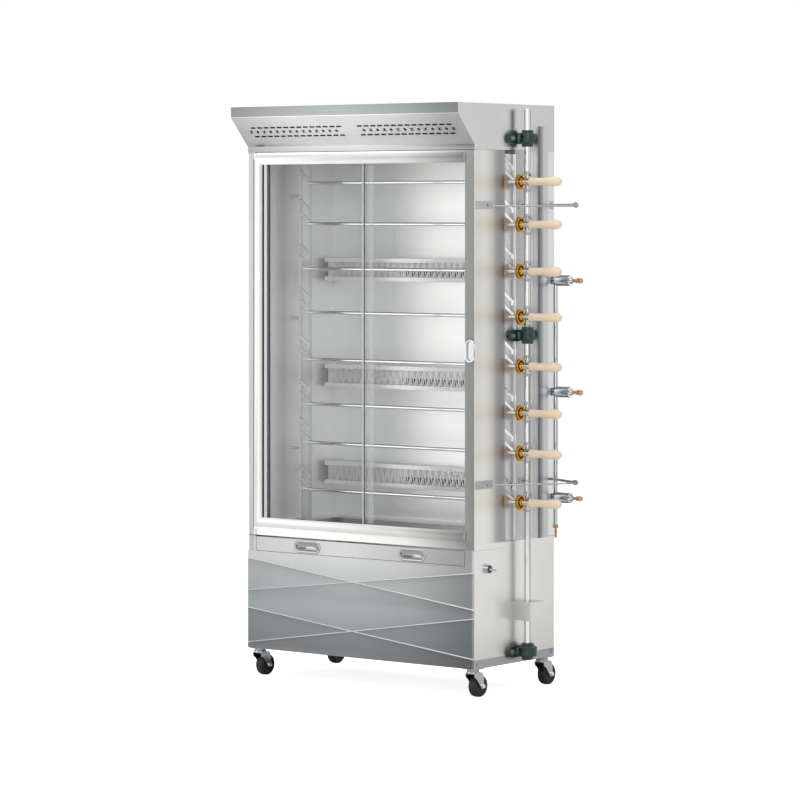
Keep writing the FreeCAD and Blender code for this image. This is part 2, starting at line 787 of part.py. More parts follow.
def spit_rail(web_x, flange_x0, flange_x1, flange_at_front, foot, head):
    """A slotted rail: an upright web, with a flange along one edge."""
    web = block(web_x, web_x + rail_sheet, rail_front, rail_rear, foot, head)
    y0 = rail_front if flange_at_front else rail_rear - rail_sheet
    flange = block(flange_x0, flange_x1, y0, y0 + rail_sheet, foot, head)
    rail = web.fuse(flange)
    x0 = min(web_x, flange_x0) - 1 if flange_at_front else web_x - 1
    x1 = max(web_x + rail_sheet, flange_x1) + 1 if flange_at_front else web_x + rail_sheet + 1
    tools = []
    for level in spit_levels:
        tools.append(slot_tool(level, x0, x1))
        tools.append(slot_tool(level + slot_spacing, x0, x1))
    return rail.cut(Part.makeCompound(tools))


def spit_rail_right():
    """The right rail, flush with the side wall, with its flange turned outwards."""
    rail = spit_rail(-rail_sheet, -rail_sheet, rail_flange, False, rail_foot, rail_head)
    feet = []
    for level in bearing_levels:
        feet.append(block(0, rail_flange + 1, rail_rear - 10, rail_rear + 10,
                          level - bearing_base_width / 2 - 1, level + bearing_base_width / 2 + 1))
    rail = rail.cut(Part.makeCompound(feet))
    return [rail]


def spit_rail_left():
    """The left rail, held off the chamber wall on pegs."""
    rail = spit_rail(left_rail_x, left_rail_x - left_rail_flange, left_rail_x, True,
                     chamber_floor + sheet + seam, chamber_ceiling - seam)
    pegs = []
    middle = (rail_front + rail_rear) / 2
    for level in rail_peg_levels:
        pegs.append(bar(V(chamber_left_x + sheet, middle, level), V(left_rail_x, middle, level), rail_peg_radius))
    return [rail] + pegs


def burners():
    """Three trough burners across the back, each with a screen and a zigzag guard."""
    pieces = []
    for level in burner_levels:
        top = level + burner_height / 2
        foot = level - burner_height / 2
        back = chamber_back - seam
        plate = burner_plate
        trough = [(burner_front, foot), (back, foot), (back, top), (burner_front, top), (burner_front, top - burner_lip),
                  (burner_front + plate, top - burner_lip), (burner_front + plate, top - plate),
                  (back - plate, top - plate), (back - plate, foot + plate), (burner_front + plate, foot + plate),
                  (burner_front + plate, foot + burner_lip), (burner_front, foot + burner_lip)]
        length = V(burner_right - burner_left, 0, 0)
        pieces.append(prism(side_outline(trough, burner_left), length))
        screen_y = burner_front + burner_screen_depth
        pieces.append(block(burner_left, burner_right, screen_y, screen_y + plate, foot + plate, top - plate))
        pieces.append(zigzag_guard(foot + plate + 8, top - plate - 8, burner_front + plate + 4))
    return pieces


def zigzag_guard(foot, top, y):
    """A flat zigzag band that stands in front of a burner's screen."""
    count = int((burner_right - burner_left - 2 * burner_v_pitch) / burner_v_pitch)
    start = burner_left + burner_v_pitch
    upper = []
    lower = []
    for step in range(2 * count + 1):
        x = start + step * burner_v_pitch / 2
        z = top if step % 2 else foot
        upper.append((x, z + burner_v_bar))
        lower.append((x, z - burner_v_bar))
    outline = upper + lower[::-1]
    band = prism(front_outline(outline, y), V(0, 2.0, 0))
    brackets = []
    for x in (start, start + count * burner_v_pitch):
        brackets.append(block(x - 3, x + 3, y, burner_front + burner_screen_depth, foot - 3, foot + 3))
    return band.multiFuse(brackets)


def gas_line():
    """The upright gas pipe with its three valve bodies and the hose nozzle under it."""
    pipe = bar(V(gas_pipe_x, gas_y, gas_pipe_foot), V(gas_pipe_x, gas_y, valve_levels[0]), gas_pipe_diameter / 2)
    parts = []
    bores = []
    for level in valve_levels:
        wall = V(0, gas_y, level)
        start = V(valve_body_start, gas_y, level)
        end = V(valve_body_end, gas_y, level)
        parts.append(bar(wall, start, valve_union_diameter / 2))
        parts.append(hexagon(V(8, gas_y, level), valve_union_diameter * 1.2, 9, V(1, 0, 0)))
        parts.append(bar(start, end, valve_body_diameter / 2))
        parts.append(tapered(end, end + V(9, 0, 0), valve_union_diameter / 2, valve_stem_diameter / 2 + 3))
        bores.append(bar(V(valve_body_end - 24, gas_y, level), V(valve_body_end + 20, gas_y, level),
                         valve_stem_diameter / 2 + valve_stem_clearance))
    return [pipe.multiFuse(parts).cut(Part.makeCompound(bores)), gas_nozzle()]


def gas_nozzle():
    """The brass hose nozzle under the gas pipe."""
    top = V(gas_pipe_x, gas_y, gas_pipe_foot)
    nut = hexagon(top, 17, 12, V(0, 0, -1))
    stem_top = top - V(0, 0, 12)
    stem = bar(stem_top, top - V(0, 0, nozzle_length), nozzle_diameter / 2 - 1)
    barbs = []
    for step in range(3):
        start = stem_top - V(0, 0, 8 + 8 * step)
        barbs.append(tapered(start, start - V(0, 0, 6), nozzle_diameter / 2, nozzle_diameter / 2 - 1))
    return nut.multiFuse([stem] + barbs)


def valve_knob(level):
    """A brass stem with its turned knob."""
    axis_y = gas_y
    stem = bar(V(valve_body_end - 20, axis_y, level), V(valve_knob_start, axis_y, level), valve_stem_diameter / 2)
    knob = bar(V(valve_knob_start, axis_y, level), V(valve_knob_end, axis_y, level), valve_knob_diameter / 2)
    flutes = []
    for step in range(12):
        angle = math.radians(30 * step)
        y = axis_y + (valve_knob_diameter / 2 + 0.6) * math.cos(angle)
        z = level + (valve_knob_diameter / 2 + 0.6) * math.sin(angle)
        flutes.append(bar(V(valve_knob_start - 1, y, z), V(valve_knob_end + 1, y, z), 1.6))
    knob = knob.cut(Part.makeCompound(flutes))
    tip = bar(V(valve_knob_end, axis_y, level), V(valve_knob_end + 3, axis_y, level), 3.5)
    return [stem.multiFuse([knob, tip])]


def drive_shaft():
    """The upright shaft that carries the worms."""
    shaft = bar(V(gear_plane_x, shaft_y, shaft_foot), V(gear_plane_x, shaft_y, shaft_top), shaft_diameter / 2)
    chamfer = 1.5
    edges = [edge for edge in shaft.Edges if abs(edge.BoundBox.ZLength) < 1e-6]
    return [shaft.makeChamfer(chamfer, edges)]


def worm():
    """One worm, centred at height zero: a core with a thread and a plain collar at each end."""
    pitch = math.pi * gear_module
    root = worm_pitch_radius - gear_dedendum
    tip = worm_pitch_radius + gear_addendum
    threaded = worm_length - 2 * worm_collar
    core = Part.makeCylinder(root, threaded, V(0, 0, -threaded / 2))
    slope = math.tan(math.radians(pressure_angle))
    half = tooth_thickness / 2
    inner = root - 0.4
    half_root = half + (worm_pitch_radius - inner) * slope
    half_tip = half - gear_addendum * slope
    turns_length = threaded - 2 * pitch
    start_z = -turns_length / 2
    path = Part.makeHelix(pitch, turns_length, worm_pitch_radius)
    path.translate(V(0, 0, start_z))
    points = [V(inner, 0, start_z - half_root), V(tip, 0, start_z - half_tip),
              V(tip, 0, start_z + half_tip), V(inner, 0, start_z + half_root)]
    profile = Part.makePolygon(points + [points[0]])
    shell = Part.BRepOffsetAPI.MakePipeShell(Part.Wire(path.Edges))
    shell.setFrenetMode(True)
    shell.add(profile)
    shell.build()
    shell.makeSolid()
    thread = shell.shape()
    body = core.fuse(thread)
    collars = []
    for sign in (-1, 1):
        foot = V(0, 0, sign * threaded / 2)
        collars.append(Part.makeCone(root, worm_collar_end, worm_collar, foot, V(0, 0, sign)))
    body = body.multiFuse(collars)
    bore = Part.makeCylinder(shaft_diameter / 2, worm_length + 2, V(0, 0, -worm_length / 2 - 1))
    return body.cut(bore)


def worms():
    """One worm on the shaft beside each spit gear."""
    pattern = worm()
    copies = []
    for level in spit_levels:
        copy = pattern.copy()
        copy.translate(V(gear_plane_x, shaft_y, level))
        copies.append(copy)
    return copies


def pillow_blocks():
    """Three flanged bearing housings on the side wall, each with two bolts."""
    pieces = []
    for level, diameter in zip(bearing_levels, bearing_body_diameters):
        half = bearing_base_width / 2
        y0 = shaft_y - bearing_base_length / 2
        y1 = shaft_y + bearing_base_length / 2
        foot = block(0, bearing_base_thickness, y0 + half, y1 - half, level - half, level + half)
        ends = [bar(V(0, y, level), V(bearing_base_thickness, y, level), half) for y in (y0 + half, y1 - half)]
        bulk = bearing_body_width / 2
        web = block(bearing_base_thickness - 1, gear_plane_x, shaft_y - diameter / 2,
                    shaft_y + diameter / 2, level - bulk, level + bulk)
        body = bar(V(gear_plane_x, shaft_y, level - bulk), V(gear_plane_x, shaft_y, level + bulk), diameter / 2)
        hub = bar(V(gear_plane_x, shaft_y, level - bearing_hub_width / 2),
                  V(gear_plane_x, shaft_y, level + bearing_hub_width / 2), bearing_hub_diameter / 2)
        bore = bar(V(gear_plane_x, shaft_y, level - bearing_hub_width),
                   V(gear_plane_x, shaft_y, level + bearing_hub_width), shaft_diameter / 2 + running_fit)
        behind = block(-diameter, 0, y0, y1, level - bearing_hub_width, level + bearing_hub_width)
        housing = foot.multiFuse(ends + [web, body, hub]).cut(bore).cut(behind)
        pieces.append(housing)
        for sign in (-1, 1):
            seat = V(bearing_base_thickness, shaft_y + sign * bearing_bolt_offset, level)
            pieces.append(hexagon(seat, bearing_bolt_diameter * 1.6, 6.5, V(1, 0, 0)))
    return pieces


def drive_cover():
    """The box over the shaft's gearing at the foot of the side wall."""
    top = cover_foot + cover_height
    rear = cover_front + cover_width
    box = block(0, cover_reach, cover_front, rear, cover_foot, top)
    hollow = block(-1, cover_reach - sheet, cover_front + sheet, rear - sheet, cover_foot + sheet, top - sheet)
    hole = bar(V(gear_plane_x, shaft_y, cover_foot - 1), V(gear_plane_x, shaft_y, top + 1), shaft_diameter / 2 + 2)
    return [box.cut(hollow).cut(hole)]


def gear_motor():
    """The hollow-shaft gearbox inside the cover, with its motor inside the cabinet."""
    mid_z = cover_foot + cover_height / 2
    half = gearbox_size / 2
    gearbox = block(sheet, gear_plane_x + half, shaft_y - half, shaft_y + half, mid_z - half, mid_z + half)
    neck = bar(V(-sheet - 2, shaft_y, mid_z), V(sheet, shaft_y, mid_z), motor_neck_diameter / 2)
    motor = bar(V(-sheet - motor_length, shaft_y, mid_z), V(-sheet, shaft_y, mid_z), motor_diameter / 2)
    cap = tapered(V(-sheet - motor_length, shaft_y, mid_z), V(-sheet - motor_length - 12, shaft_y, mid_z),
                  motor_diameter / 2, motor_diameter / 2 - 10)
    bore = bar(V(gear_plane_x, shaft_y, mid_z - gearbox_size), V(gear_plane_x, shaft_y, mid_z + gearbox_size),
               shaft_diameter / 2 + running_gap)
    return [gearbox.multiFuse([neck, motor, cap]).cut(bore)]


def guard_arms():
    """Two V-shaped arms that reach out round the handles, and two small stop brackets."""
    pieces = []
    half = arm_plate_height / 2
    for level, rear_y in arm_places:
        tip = V(arm_tip_x, arm_tip_y, level)
        elbow = V(arm_standoff, rear_y, level)
        along = (tip - elbow).normalize()
        behind = block(-40, 0, 0, body_depth, level - 40, level + 40)
        plate = block(0, arm_plate_thickness, arm_plate_start, arm_plate_end, level - half, level + half)
        strip_level = V(0, 0, arm_front_drop)
        front_foot = V(arm_plate_thickness / 2 + 1, arm_plate_end - 4, level) - strip_level
        front_bar = bar(front_foot, tip - along * arm_rear_radius - strip_level, arm_bar_radius)
        pieces.append(plate.fuse(front_bar).cut(behind))
        rear_plate = block(0, arm_plate_thickness, rear_y - 9, rear_y + 9, level - half, level + half)
        stub = bar(V(0, rear_y, level), elbow, arm_rear_radius)
        knee = Part.makeSphere(arm_rear_radius, elbow)
        rear_bar = bar(elbow, tip, arm_rear_radius)
        collars = [bar(tip - along * 14, tip - along * 11, arm_nut_across / 2),
                   hexagon(tip - along * 8, arm_nut_across, 5, along)]
        rear_arm = rear_plate.multiFuse([stub, knee, rear_bar] + collars).cut(behind)
        pieces.append(rear_arm.cut(bar(front_foot, tip - along * arm_rear_radius - strip_level, arm_bar_radius)))
        pieces.append(hexagon(V(arm_plate_thickness, arm_bolt_y, level), 13, 5, V(1, 0, 0)))
        stop = block(0, 3, arm_stop_y, arm_stop_y + arm_stop_width, level - 13, level + 13)
        screw_y = arm_stop_y + arm_stop_width - 9
        screw = bar(V(3, screw_y, level), V(8, screw_y, level), 5)
        pieces.append(stop.fuse(screw))
    return pieces


def switch_knob():
    """The rotary switch on the lower side wall, with its short lever."""
    boss = bar(V(running_gap, switch_y, switch_level), V(switch_depth, switch_y, switch_level), switch_diameter / 2)
    spindle = bar(V(-14, switch_y, switch_level), V(switch_depth, switch_y, switch_level), switch_spindle_diameter / 2)
    grip = tapered(V(switch_depth - 4, switch_y, switch_level),
                   V(switch_depth + 8, switch_y + switch_lever_length, switch_level - 6), 4.5, 3)
    return [boss.multiFuse([spindle, grip])]


def spit_rod(level):
    """The spit's rod with the ferrule that holds the handle."""
    axis = V(0, spit_y, level)
    left = V(left_rail_x - rod_left_end, 0, 0)
    ferrule_start = handle_start - ferrule_length
    rod = bar(axis + left, axis + V(handle_start, 0, 0), rod_diameter / 2)
    point = tapered(axis + left, axis + left - V(14, 0, 0), rod_diameter / 2, 2)
    ferrule = bar(axis + V(ferrule_start, 0, 0), axis + V(handle_start, 0, 0), ferrule_diameter / 2)
    tang = bar(axis + V(handle_start, 0, 0), axis + V(handle_start + handle_tang, 0, 0),
               rod_diameter / 2 - 2)
    return [rod.multiFuse([point, ferrule, tang])]


def spit_gear(level):
    """The brass worm gear: toothed rim, thin web and hub on the spit's rod."""
    tip = gear_pitch_radius + gear_addendum
    root = gear_pitch_radius - gear_dedendum
    slope = math.tan(math.radians(pressure_angle))
    half_root = tooth_thickness / 2 + gear_dedendum * slope
    half_tip = tooth_thickness / 2 - gear_addendum * slope
    phase = gear_phase()
    points = []
    for tooth in range(gear_teeth):
        centre = math.radians(phase + 360.0 * tooth / gear_teeth)
        for radius, half in ((root, -half_root), (tip, -half_tip), (tip, half_tip), (root, half_root)):
            angle = centre + half / radius
            points.append((spit_y + radius * math.cos(angle), level + radius * math.sin(angle)))
    x0 = gear_plane_x - gear_face / 2
    x1 = gear_plane_x + gear_face / 2
    blank = prism(side_outline(points, x0), V(gear_face, 0, 0))
    axis = V(0, spit_y, level)
    rim = root - gear_rim
    web_half = gear_web / 2
    for pocket in ((x1 + 1, gear_plane_x + web_half), (x0 - 1, gear_plane_x - web_half)):
        blank = blank.cut(bar(axis + V(pocket[0], 0, 0), axis + V(pocket[1], 0, 0), rim))
    hub = bar(axis + V(x0, 0, 0), axis + V(x1, 0, 0), gear_hub_diameter / 2)
    bore = bar(axis + V(x0 - 1, 0, 0), axis + V(x1 + 1, 0, 0), rod_diameter / 2)
    return [blank.fuse(hub).cut(bore)]


def gear_phase():
    """Angle of the gear's first tooth that puts the worm's thread midway between two teeth."""
    pitch = math.pi * gear_module
    threaded = worm_length - 2 * worm_collar
    thread_start = -(threaded - 2 * pitch) / 2
    thread_at_gear = thread_start + 0.75 * pitch
    return 360.0 / gear_teeth * (thread_at_gear / pitch + 0.5)


def spit_handle(level):
    """The turned wooden handle, round in section and rounded at its end."""
    length = handle_reach - handle_start
    neck = handle_neck_diameter / 2
    waist = handle_waist_diameter / 2
    swell = handle_swell_diameter / 2
    start = V(handle_start, spit_y, level)
    end = handle_end_diameter / 2
    curve = Part.BSplineCurve()
    profile = ((0, neck), (0.18 * length, neck + 0.8), (0.42 * length, waist), (0.72 * length, swell), (length - end, end))
    curve.interpolate([start + V(x, 0, z) for x, z in profile])
    slant = end / math.sqrt(2)
    end_arc = Part.Arc(start + V(length - end, 0, end), start + V(length - end + slant, 0, slant),
                       start + V(length, 0, 0))
    outline = Part.Wire([curve.toShape(), end_arc.toShape(),
                         Part.makeLine(start + V(length, 0, 0), start),
                         Part.makeLine(start, start + V(0, 0, neck))])
    turned = Part.Face(outline).revolve(start, V(1, 0, 0), 360)
    solid = Part.Solid(turned) if turned.ShapeType == "Shell" else turned
    tang = bar(start, start + V(handle_tang, 0, 0), rod_diameter / 2 - 2)
    return [solid.cut(tang)]


def caster_fork(x, y):
    """The chrome swivel fork: a head under the plate, two legs and the axle with its hex heads."""
    head_top = -caster_plate_thickness - running_gap
    head_foot = -16.0
    leg_x = wheel_width / 2 + fork_gap
    axle_y = y + caster_trail
    head = bar(V(x, y, head_top), V(x, y, head_foot), 21.0)
    bridge = block(x - leg_x - fork_leg, x + leg_x + fork_leg, y - 16, y + 30, head_foot - 3, head_foot)
    outline = [(y - 16, head_foot), (y + 30, head_foot), (axle_y + 17, wheel_axis_z + 6),
               (axle_y + 10, wheel_axis_z - 9), (axle_y - 10, wheel_axis_z - 9), (y - 16, head_foot - 16)]
    legs = []
    for sign in (-1, 1):
        face_x = x + sign * leg_x
        legs.append(prism(side_outline(outline, face_x), V(sign * fork_leg, 0, 0)))
    socket = bar(V(x, y, 1), V(x, y, head_foot - 4), kingpin_diameter / 2 + running_fit)
    axle = bar(V(x - leg_x - fork_leg, axle_y, wheel_axis_z), V(x + leg_x + fork_leg, axle_y, wheel_axis_z),
               axle_diameter / 2)
    heads = []
    for sign in (-1, 1):
        heads.append(hexagon(V(x + sign * (leg_x + fork_leg), axle_y, wheel_axis_z), 13, 5, V(sign, 0, 0)))
    fork = head.multiFuse([bridge] + legs).cut(socket)
    return [fork.multiFuse([axle] + heads)]


def caster_wheel(x, y):
    """The wheel, with a rounded tread and a bore for its axle."""
    axle_y = y + caster_trail
    half = wheel_width / 2
    centre = V(x, axle_y, wheel_axis_z)
    tyre = bar(centre - V(half, 0, 0), centre + V(half, 0, 0), wheel_diameter / 2)
    rims = [edge for edge in tyre.Edges if edge.BoundBox.XLength < 1e-6]
    tyre = tyre.makeFillet(7, rims)
    bore = bar(centre - V(half + 1, 0, 0), centre + V(half + 1, 0, 0), axle_diameter / 2 + running_fit)
    dish = []
    for sign in (-1, 1):
        dish.append(bar(centre + V(sign * (half + 1), 0, 0), centre + V(sign * (half - 4), 0, 0), wheel_diameter * 0.3))
    hub = bar(centre - V(half, 0, 0), centre + V(half, 0, 0), 9)
    return [tyre.cut(Part.makeCompound(dish)).fuse(hub).cut(bore)]


def save(name, pieces):
    """Move a piece, or a group of pieces, to the machine's frame and write it."""
    shape = pieces[0].copy() if len(pieces) == 1 else Part.makeCompound(pieces)
    shape.translate(origin_shift)
    for solid in shape.Solids:
        if not solid.isValid() or solid.Volume <= 0:
            print("invalid solid in", name)
    shape.exportStep("parts/" + name + ".step")
    print(name, len(shape.Solids), round(shape.Volume / 1000, 1))


def main():
    """Build every piece and write one file for each."""
    os.makedirs("parts", exist_ok=True)
    single = {
        "cabinet_frame": cabinet_frame, "base_panel": base_panel, "side_panel_left": side_panel_left,
        "side_panel_right": side_panel_right, "back_panel": back_panel, "hood": hood, "chamber_liner": chamber_liner,
        "door_frame": door_frame, "glass_tracks": glass_tracks, "door_pull": door_pull, "drip_drawer": drip_drawer,
        "drawer_pulls": drawer_pulls, "spit_rail_left": spit_rail_left, "spit_rail_right": spit_rail_right,
        "burners": burners, "gas_line": gas_line, "drive_shaft": drive_shaft, "worms": worms,
        "pillow_blocks": pillow_blocks, "drive_cover": drive_cover, "gear_motor": gear_motor,
        "guard_arms": guard_arms, "switch_knob": switch_knob,
    }
    for name, build in single.items():
        save(name, build())
    save("glass_pane_left", pane(opening_left, left_pane_edge, 1))
    save("glass_pane_right", pane(right_pane_edge, opening_right + 12, 0))
    for number, level in enumerate(valve_levels, 1):
        save("valve_knob_%d" % number, valve_knob(level))
    for number, level in enumerate(spit_levels, 1):
        save("spit_rod_%d" % number, spit_rod(level))
        save("spit_gear_%d" % number, spit_gear(level))
        save("spit_handle_%d" % number, spit_handle(level))
    corners = {"front_right": (-caster_inset_x, caster_front_y), "rear_right": (-caster_inset_x, caster_rear_y),
               "front_left": (-body_width + caster_inset_x, caster_front_y),
               "rear_left": (-body_width + caster_inset_x, caster_rear_y)}
    for place, (x, y) in corners.items():
        save("caster_fork_" + place, caster_fork(x, y))
        save("caster_wheel_" + place, caster_wheel(x, y))


main()
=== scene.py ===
# Vertical rotisserie: a steel roasting cabinet with a glazed door, eight driven spits and four casters.
# Sizes in the dictionaries are millimetres from the right front lower corner of the cabinet:
# X out of the right side wall, Y backwards, Z up. inScene() turns them into the scene's metres.
import json
import math
import bmesh
import bpy
import numpy as np
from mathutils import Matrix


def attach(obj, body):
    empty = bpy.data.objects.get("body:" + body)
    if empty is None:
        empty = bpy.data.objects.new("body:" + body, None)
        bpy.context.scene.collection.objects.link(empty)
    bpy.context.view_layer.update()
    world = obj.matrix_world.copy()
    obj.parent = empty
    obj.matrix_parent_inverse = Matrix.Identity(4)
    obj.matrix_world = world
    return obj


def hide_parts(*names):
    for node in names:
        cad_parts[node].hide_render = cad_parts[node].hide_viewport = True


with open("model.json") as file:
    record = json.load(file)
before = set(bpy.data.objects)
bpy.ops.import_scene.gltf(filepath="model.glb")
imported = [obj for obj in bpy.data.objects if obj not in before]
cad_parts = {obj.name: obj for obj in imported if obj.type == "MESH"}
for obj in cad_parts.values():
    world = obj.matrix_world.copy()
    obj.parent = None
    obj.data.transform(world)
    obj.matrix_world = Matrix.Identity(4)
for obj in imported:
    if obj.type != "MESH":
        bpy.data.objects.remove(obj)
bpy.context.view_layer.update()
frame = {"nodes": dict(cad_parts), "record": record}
print("frame loaded:", len(frame["nodes"]), "nodes")

cabinet = {"shift": (397.5, -203.75, 100.0), "metre": 0.001}
white = (1, 1, 1, 1)


def inScene(points):  # (point + shift) * 0.001
    return (np.asarray(points, float) + cabinet["shift"]) * cabinet["metre"]


def placed(name, data):  # a new object of the scene
    made = bpy.data.objects.new(name, data)
    bpy.context.collection.objects.link(made)
    return made


# camera: the stand and lens that line the model up with its photograph
view = {"eye": (7019.9, -9493.8, 1540.0), "tilt": 90.0, "turn": 37.70, "lens": 157.37, "sensor": 36.0,
        "shiftY": -0.233, "farthest": 60.0}
cameraData = bpy.data.cameras.new("studioCamera")
cameraData.lens, cameraData.sensor_width, cameraData.shift_y = view["lens"], view["sensor"], view["shiftY"]
cameraData.clip_end = view["farthest"]
camera = placed("studioCamera", cameraData)
camera.location = inScene(view["eye"])
camera.rotation_euler = (math.radians(view["tilt"]), 0, math.radians(view["turn"]))
bpy.context.scene.camera = camera
bpy.context.scene.view_settings.view_transform = "Standard"
print("camera set")


# shader maths
class Wire:  # one output socket; arithmetic on it adds Math nodes
    def __init__(self, shade, socket):
        self.shade, self.socket = shade, socket

    def maths(self, operation, *values):  # on the given values, or on this socket alone
        return self.shade.node("ShaderNodeMath", {"operation": operation}, dict(enumerate(values or (self,))))

    def __add__(self, other):
        return self.maths("ADD", self, other)

    def __sub__(self, other):
        return self.maths("SUBTRACT", self, other)

    def __rsub__(self, other):
        return self.maths("SUBTRACT", other, self)

    def __mul__(self, other):
        return self.maths("MULTIPLY", self, other)

    def __gt__(self, other):
        return self.maths("GREATER_THAN", self, other)

    def __lt__(self, other):
        return self.maths("LESS_THAN", self, other)

    __radd__ = __add__
    __rmul__ = __mul__


class Shade:  # the node tree of one material, or of the world
    def __init__(self, owner):
        owner.use_nodes = True
        self.owner, self.tree = owner, owner.node_tree
        self.tree.nodes.clear()

    def node(self, kind, settings=None, sockets=None, output=0):
        made = self.tree.nodes.new(kind)
        for key, value in (settings or {}).items():
            if key == "stops":
                ramp = made.color_ramp
                while len(ramp.elements) < len(value):
                    ramp.elements.new(0.5)
                for element, (where, colour) in zip(ramp.elements, value):
                    element.position = where
                    element.color = tuple(colour) + (1.0,)
            else:
                setattr(made, key, value)
        for key, value in (sockets or {}).items():
            if isinstance(value, Wire):
                self.tree.links.new(value.socket, made.inputs[key])
            else:
                made.inputs[key].default_value = value
        return Wire(self, made.outputs[output]) if made.outputs else None

    def place(self, kind="Object"):  # a texture coordinate and its three parts; object coordinates are metres
        where = self.node("ShaderNodeTexCoord", output=kind)
        parts = self.tree.nodes.new("ShaderNodeSeparateXYZ")
        self.tree.links.new(where.socket, parts.inputs[0])
        return [where] + [Wire(self, part) for part in parts.outputs]

    def noise(self, where, stretch, detail, rough=0.55):  # fractal noise, with its own scale on each axis
        moved = self.node("ShaderNodeMapping", {}, {"Vector": where, "Scale": stretch})
        return self.node("ShaderNodeTexNoise", {},
                         {"Vector": moved, "Scale": 1.0, "Detail": detail, "Roughness": rough})

    def smooth(self, value, low, high, first=0.0, last=1.0):  # first below low, last above high, smooth between
        return self.node("ShaderNodeMapRange", {"interpolation_type": "SMOOTHSTEP"},
                         {"Value": value, "From Min": low, "From Max": high, "To Min": first, "To Max": last})

    def ramp(self, value, stops):  # colours along a value from 0 to 1
        return self.node("ShaderNodeValToRGB", {"stops": stops}, {"Fac": value})

    def mix(self, factor, first, second, blend="MIX"):
        return self.node("ShaderNodeMix", {"data_type": "RGBA", "blend_type": blend},
                         {0: factor, 6: first, 7: second}, 2)

    def times(self, first, second):  # one colour darkened by another
        return self.mix(1.0, first, second, "MULTIPLY")

    def grey(self, value):  # a number as a grey colour
        return self.node("ShaderNodeCombineColor", {}, {0: value, 1: value, 2: value})

    def bump(self, height, strength, distance):
        return self.node("ShaderNodeBump", {}, {"Height": height, "Strength": strength, "Distance": distance})

    def finish(self, **sockets):
        names = {key: key.replace("_", " ") for key in sockets}
        shader = self.node("ShaderNodeBsdfPrincipled", {}, {names[key]: value for key, value in sockets.items()})
        self.node("ShaderNodeOutputMaterial", {}, {"Surface": shader})
        return self.owner


def material(name):
    return Shade(bpy.data.materials.new(name))


def srgb(red, green, blue):  # screen values 0..255 -> linear colour
    values = np.array([red, green, blue]) / 255.0
    linear = np.where(values <= 0.04045, values / 12.92, ((values + 0.055) / 1.055) ** 2.4)
    return tuple(float(v) for v in linear)


def rgba(red, green, blue):
    return srgb(red, green, blue) + (1.0,)


def greys(*stops):  # ramp stops of plain greys, given as (place, level)
    return [(where, (level, level, level)) for where, level in stops]


# studio: a pale floor, a white room whose walls are brighter and darker in turn, and soft lamps
studio = {"floorColour": (0.86, 0.86, 0.86, 1), "floorGlow": 0.84, "floorEdge": 9.0, "viewTurn": -52.6,
          "walls": ((-180, 0.16), (-160, 0.10), (-126, 0.14), (-104, 0.70), (-90, 0.94), (-66, 0.94), (-50, 0.96),
                    (-34, 0.90), (-10, 1.00), (16, 1.00), (34, 0.74), (50, 0.14), (76, 0.16), (90, 0.66),
                    (98, 1.00), (112, 0.92), (122, 0.12), (164, 0.10), (180, 0.16)),
          "dimRise": (0.12, 0.24), "dim": (0.30, 0.30, 0.31, 1),
          "roofRise": (0.48, 0.62), "roof": (0.95, 0.95, 0.95, 1),
          "lamps": (("keyLamp", (3600, -3600, 3300), 3.0, 42.0), ("fillLamp", (-3622, -3918, 1500), 3.2, 34.0),
                    ("topLamp", (-300, -600, 4300), 2.6, 26.0), ("sideLamp", (3900, 1800, 2200), 2.4, 14.0)),
          "aim": (-450, 200, 950)}


def buildStudio():
    # wall level = ramp(fraction(turn / 360 + 1.5)), where turn is the compass angle from the viewing side;
    # higher up the walls are dim, and then comes a pale roof
    world = bpy.data.worlds.new("whiteRoom")
    bpy.context.scene.world = world
    shade = Shade(world)
    eastward, northward, upward = shade.place("Generated")[1:]
    turn = northward.maths("ARCTAN2", northward, eastward) - math.radians(studio["viewTurn"])
    place = (turn * (0.5 / math.pi) + 1.5).maths("FRACT")
    walls = shade.ramp(place, greys(*[(angle / 360 + 0.5, level) for angle, level in studio["walls"]]))
    room = shade.mix(shade.smooth(upward, *studio["dimRise"]), walls, shade.times(walls, studio["dim"]))
    room = shade.mix(shade.smooth(upward, *studio["roofRise"]), room, studio["roof"])
    cameraRay, clearRay = [shade.node("ShaderNodeLightPath", output=ray)
                           for ray in ("Is Camera Ray", "Is Transmission Ray")]
    colour = shade.mix(cameraRay.maths("MAXIMUM", cameraRay, clearRay), room, white)
    background = shade.node("ShaderNodeBackground", {}, {"Color": colour, "Strength": 1.0})
    shade.node("ShaderNodeOutputWorld", {}, {"Surface": background})

    edge = studio["floorEdge"]
    corners = [(-edge, -edge, 0), (edge, -edge, 0), (edge, edge, 0), (-edge, edge, 0)]
    mesh = bpy.data.meshes.new("studioFloor")
    mesh.from_pydata(corners, [], [[0, 1, 2, 3]])
    floor = placed("studioFloor", mesh)
    paint = material("floorPaint")
    shown = paint.node("ShaderNodeLightPath", output="Is Camera Ray")
    plain = paint.node("ShaderNodeBsdfDiffuse", {}, {"Color": studio["floorColour"]})
    glow = paint.node("ShaderNodeEmission", {}, {"Color": white, "Strength": shown * studio["floorGlow"]})
    paint.node("ShaderNodeOutputMaterial", {}, {"Surface": paint.node("ShaderNodeAddShader", {}, {0: plain, 1: glow})})
    mesh.materials.append(paint.owner)

    for name, where, size, power in studio["lamps"]:
        lamp = bpy.data.lights.new(name, "AREA")
        lamp.size, lamp.energy = size, power
        holder = placed(name, lamp)
        holder.location = inScene(where)
        aim = inScene(studio["aim"]) - inScene(where)
        holder.rotation_euler = (math.atan2(math.hypot(aim[0], aim[1]), -aim[2]), 0, math.atan2(-aim[0], aim[1]))


buildStudio()
print("studio ready")


# finishes, by name
finish = {}
facingEdge = (0.45, 0.75)  # cosines between which a face starts to count
polish = {"stretch": (2.5, 2.5, 2.5), "tint": 0.03, "sheen": 0.10, "bump": 0.0002}


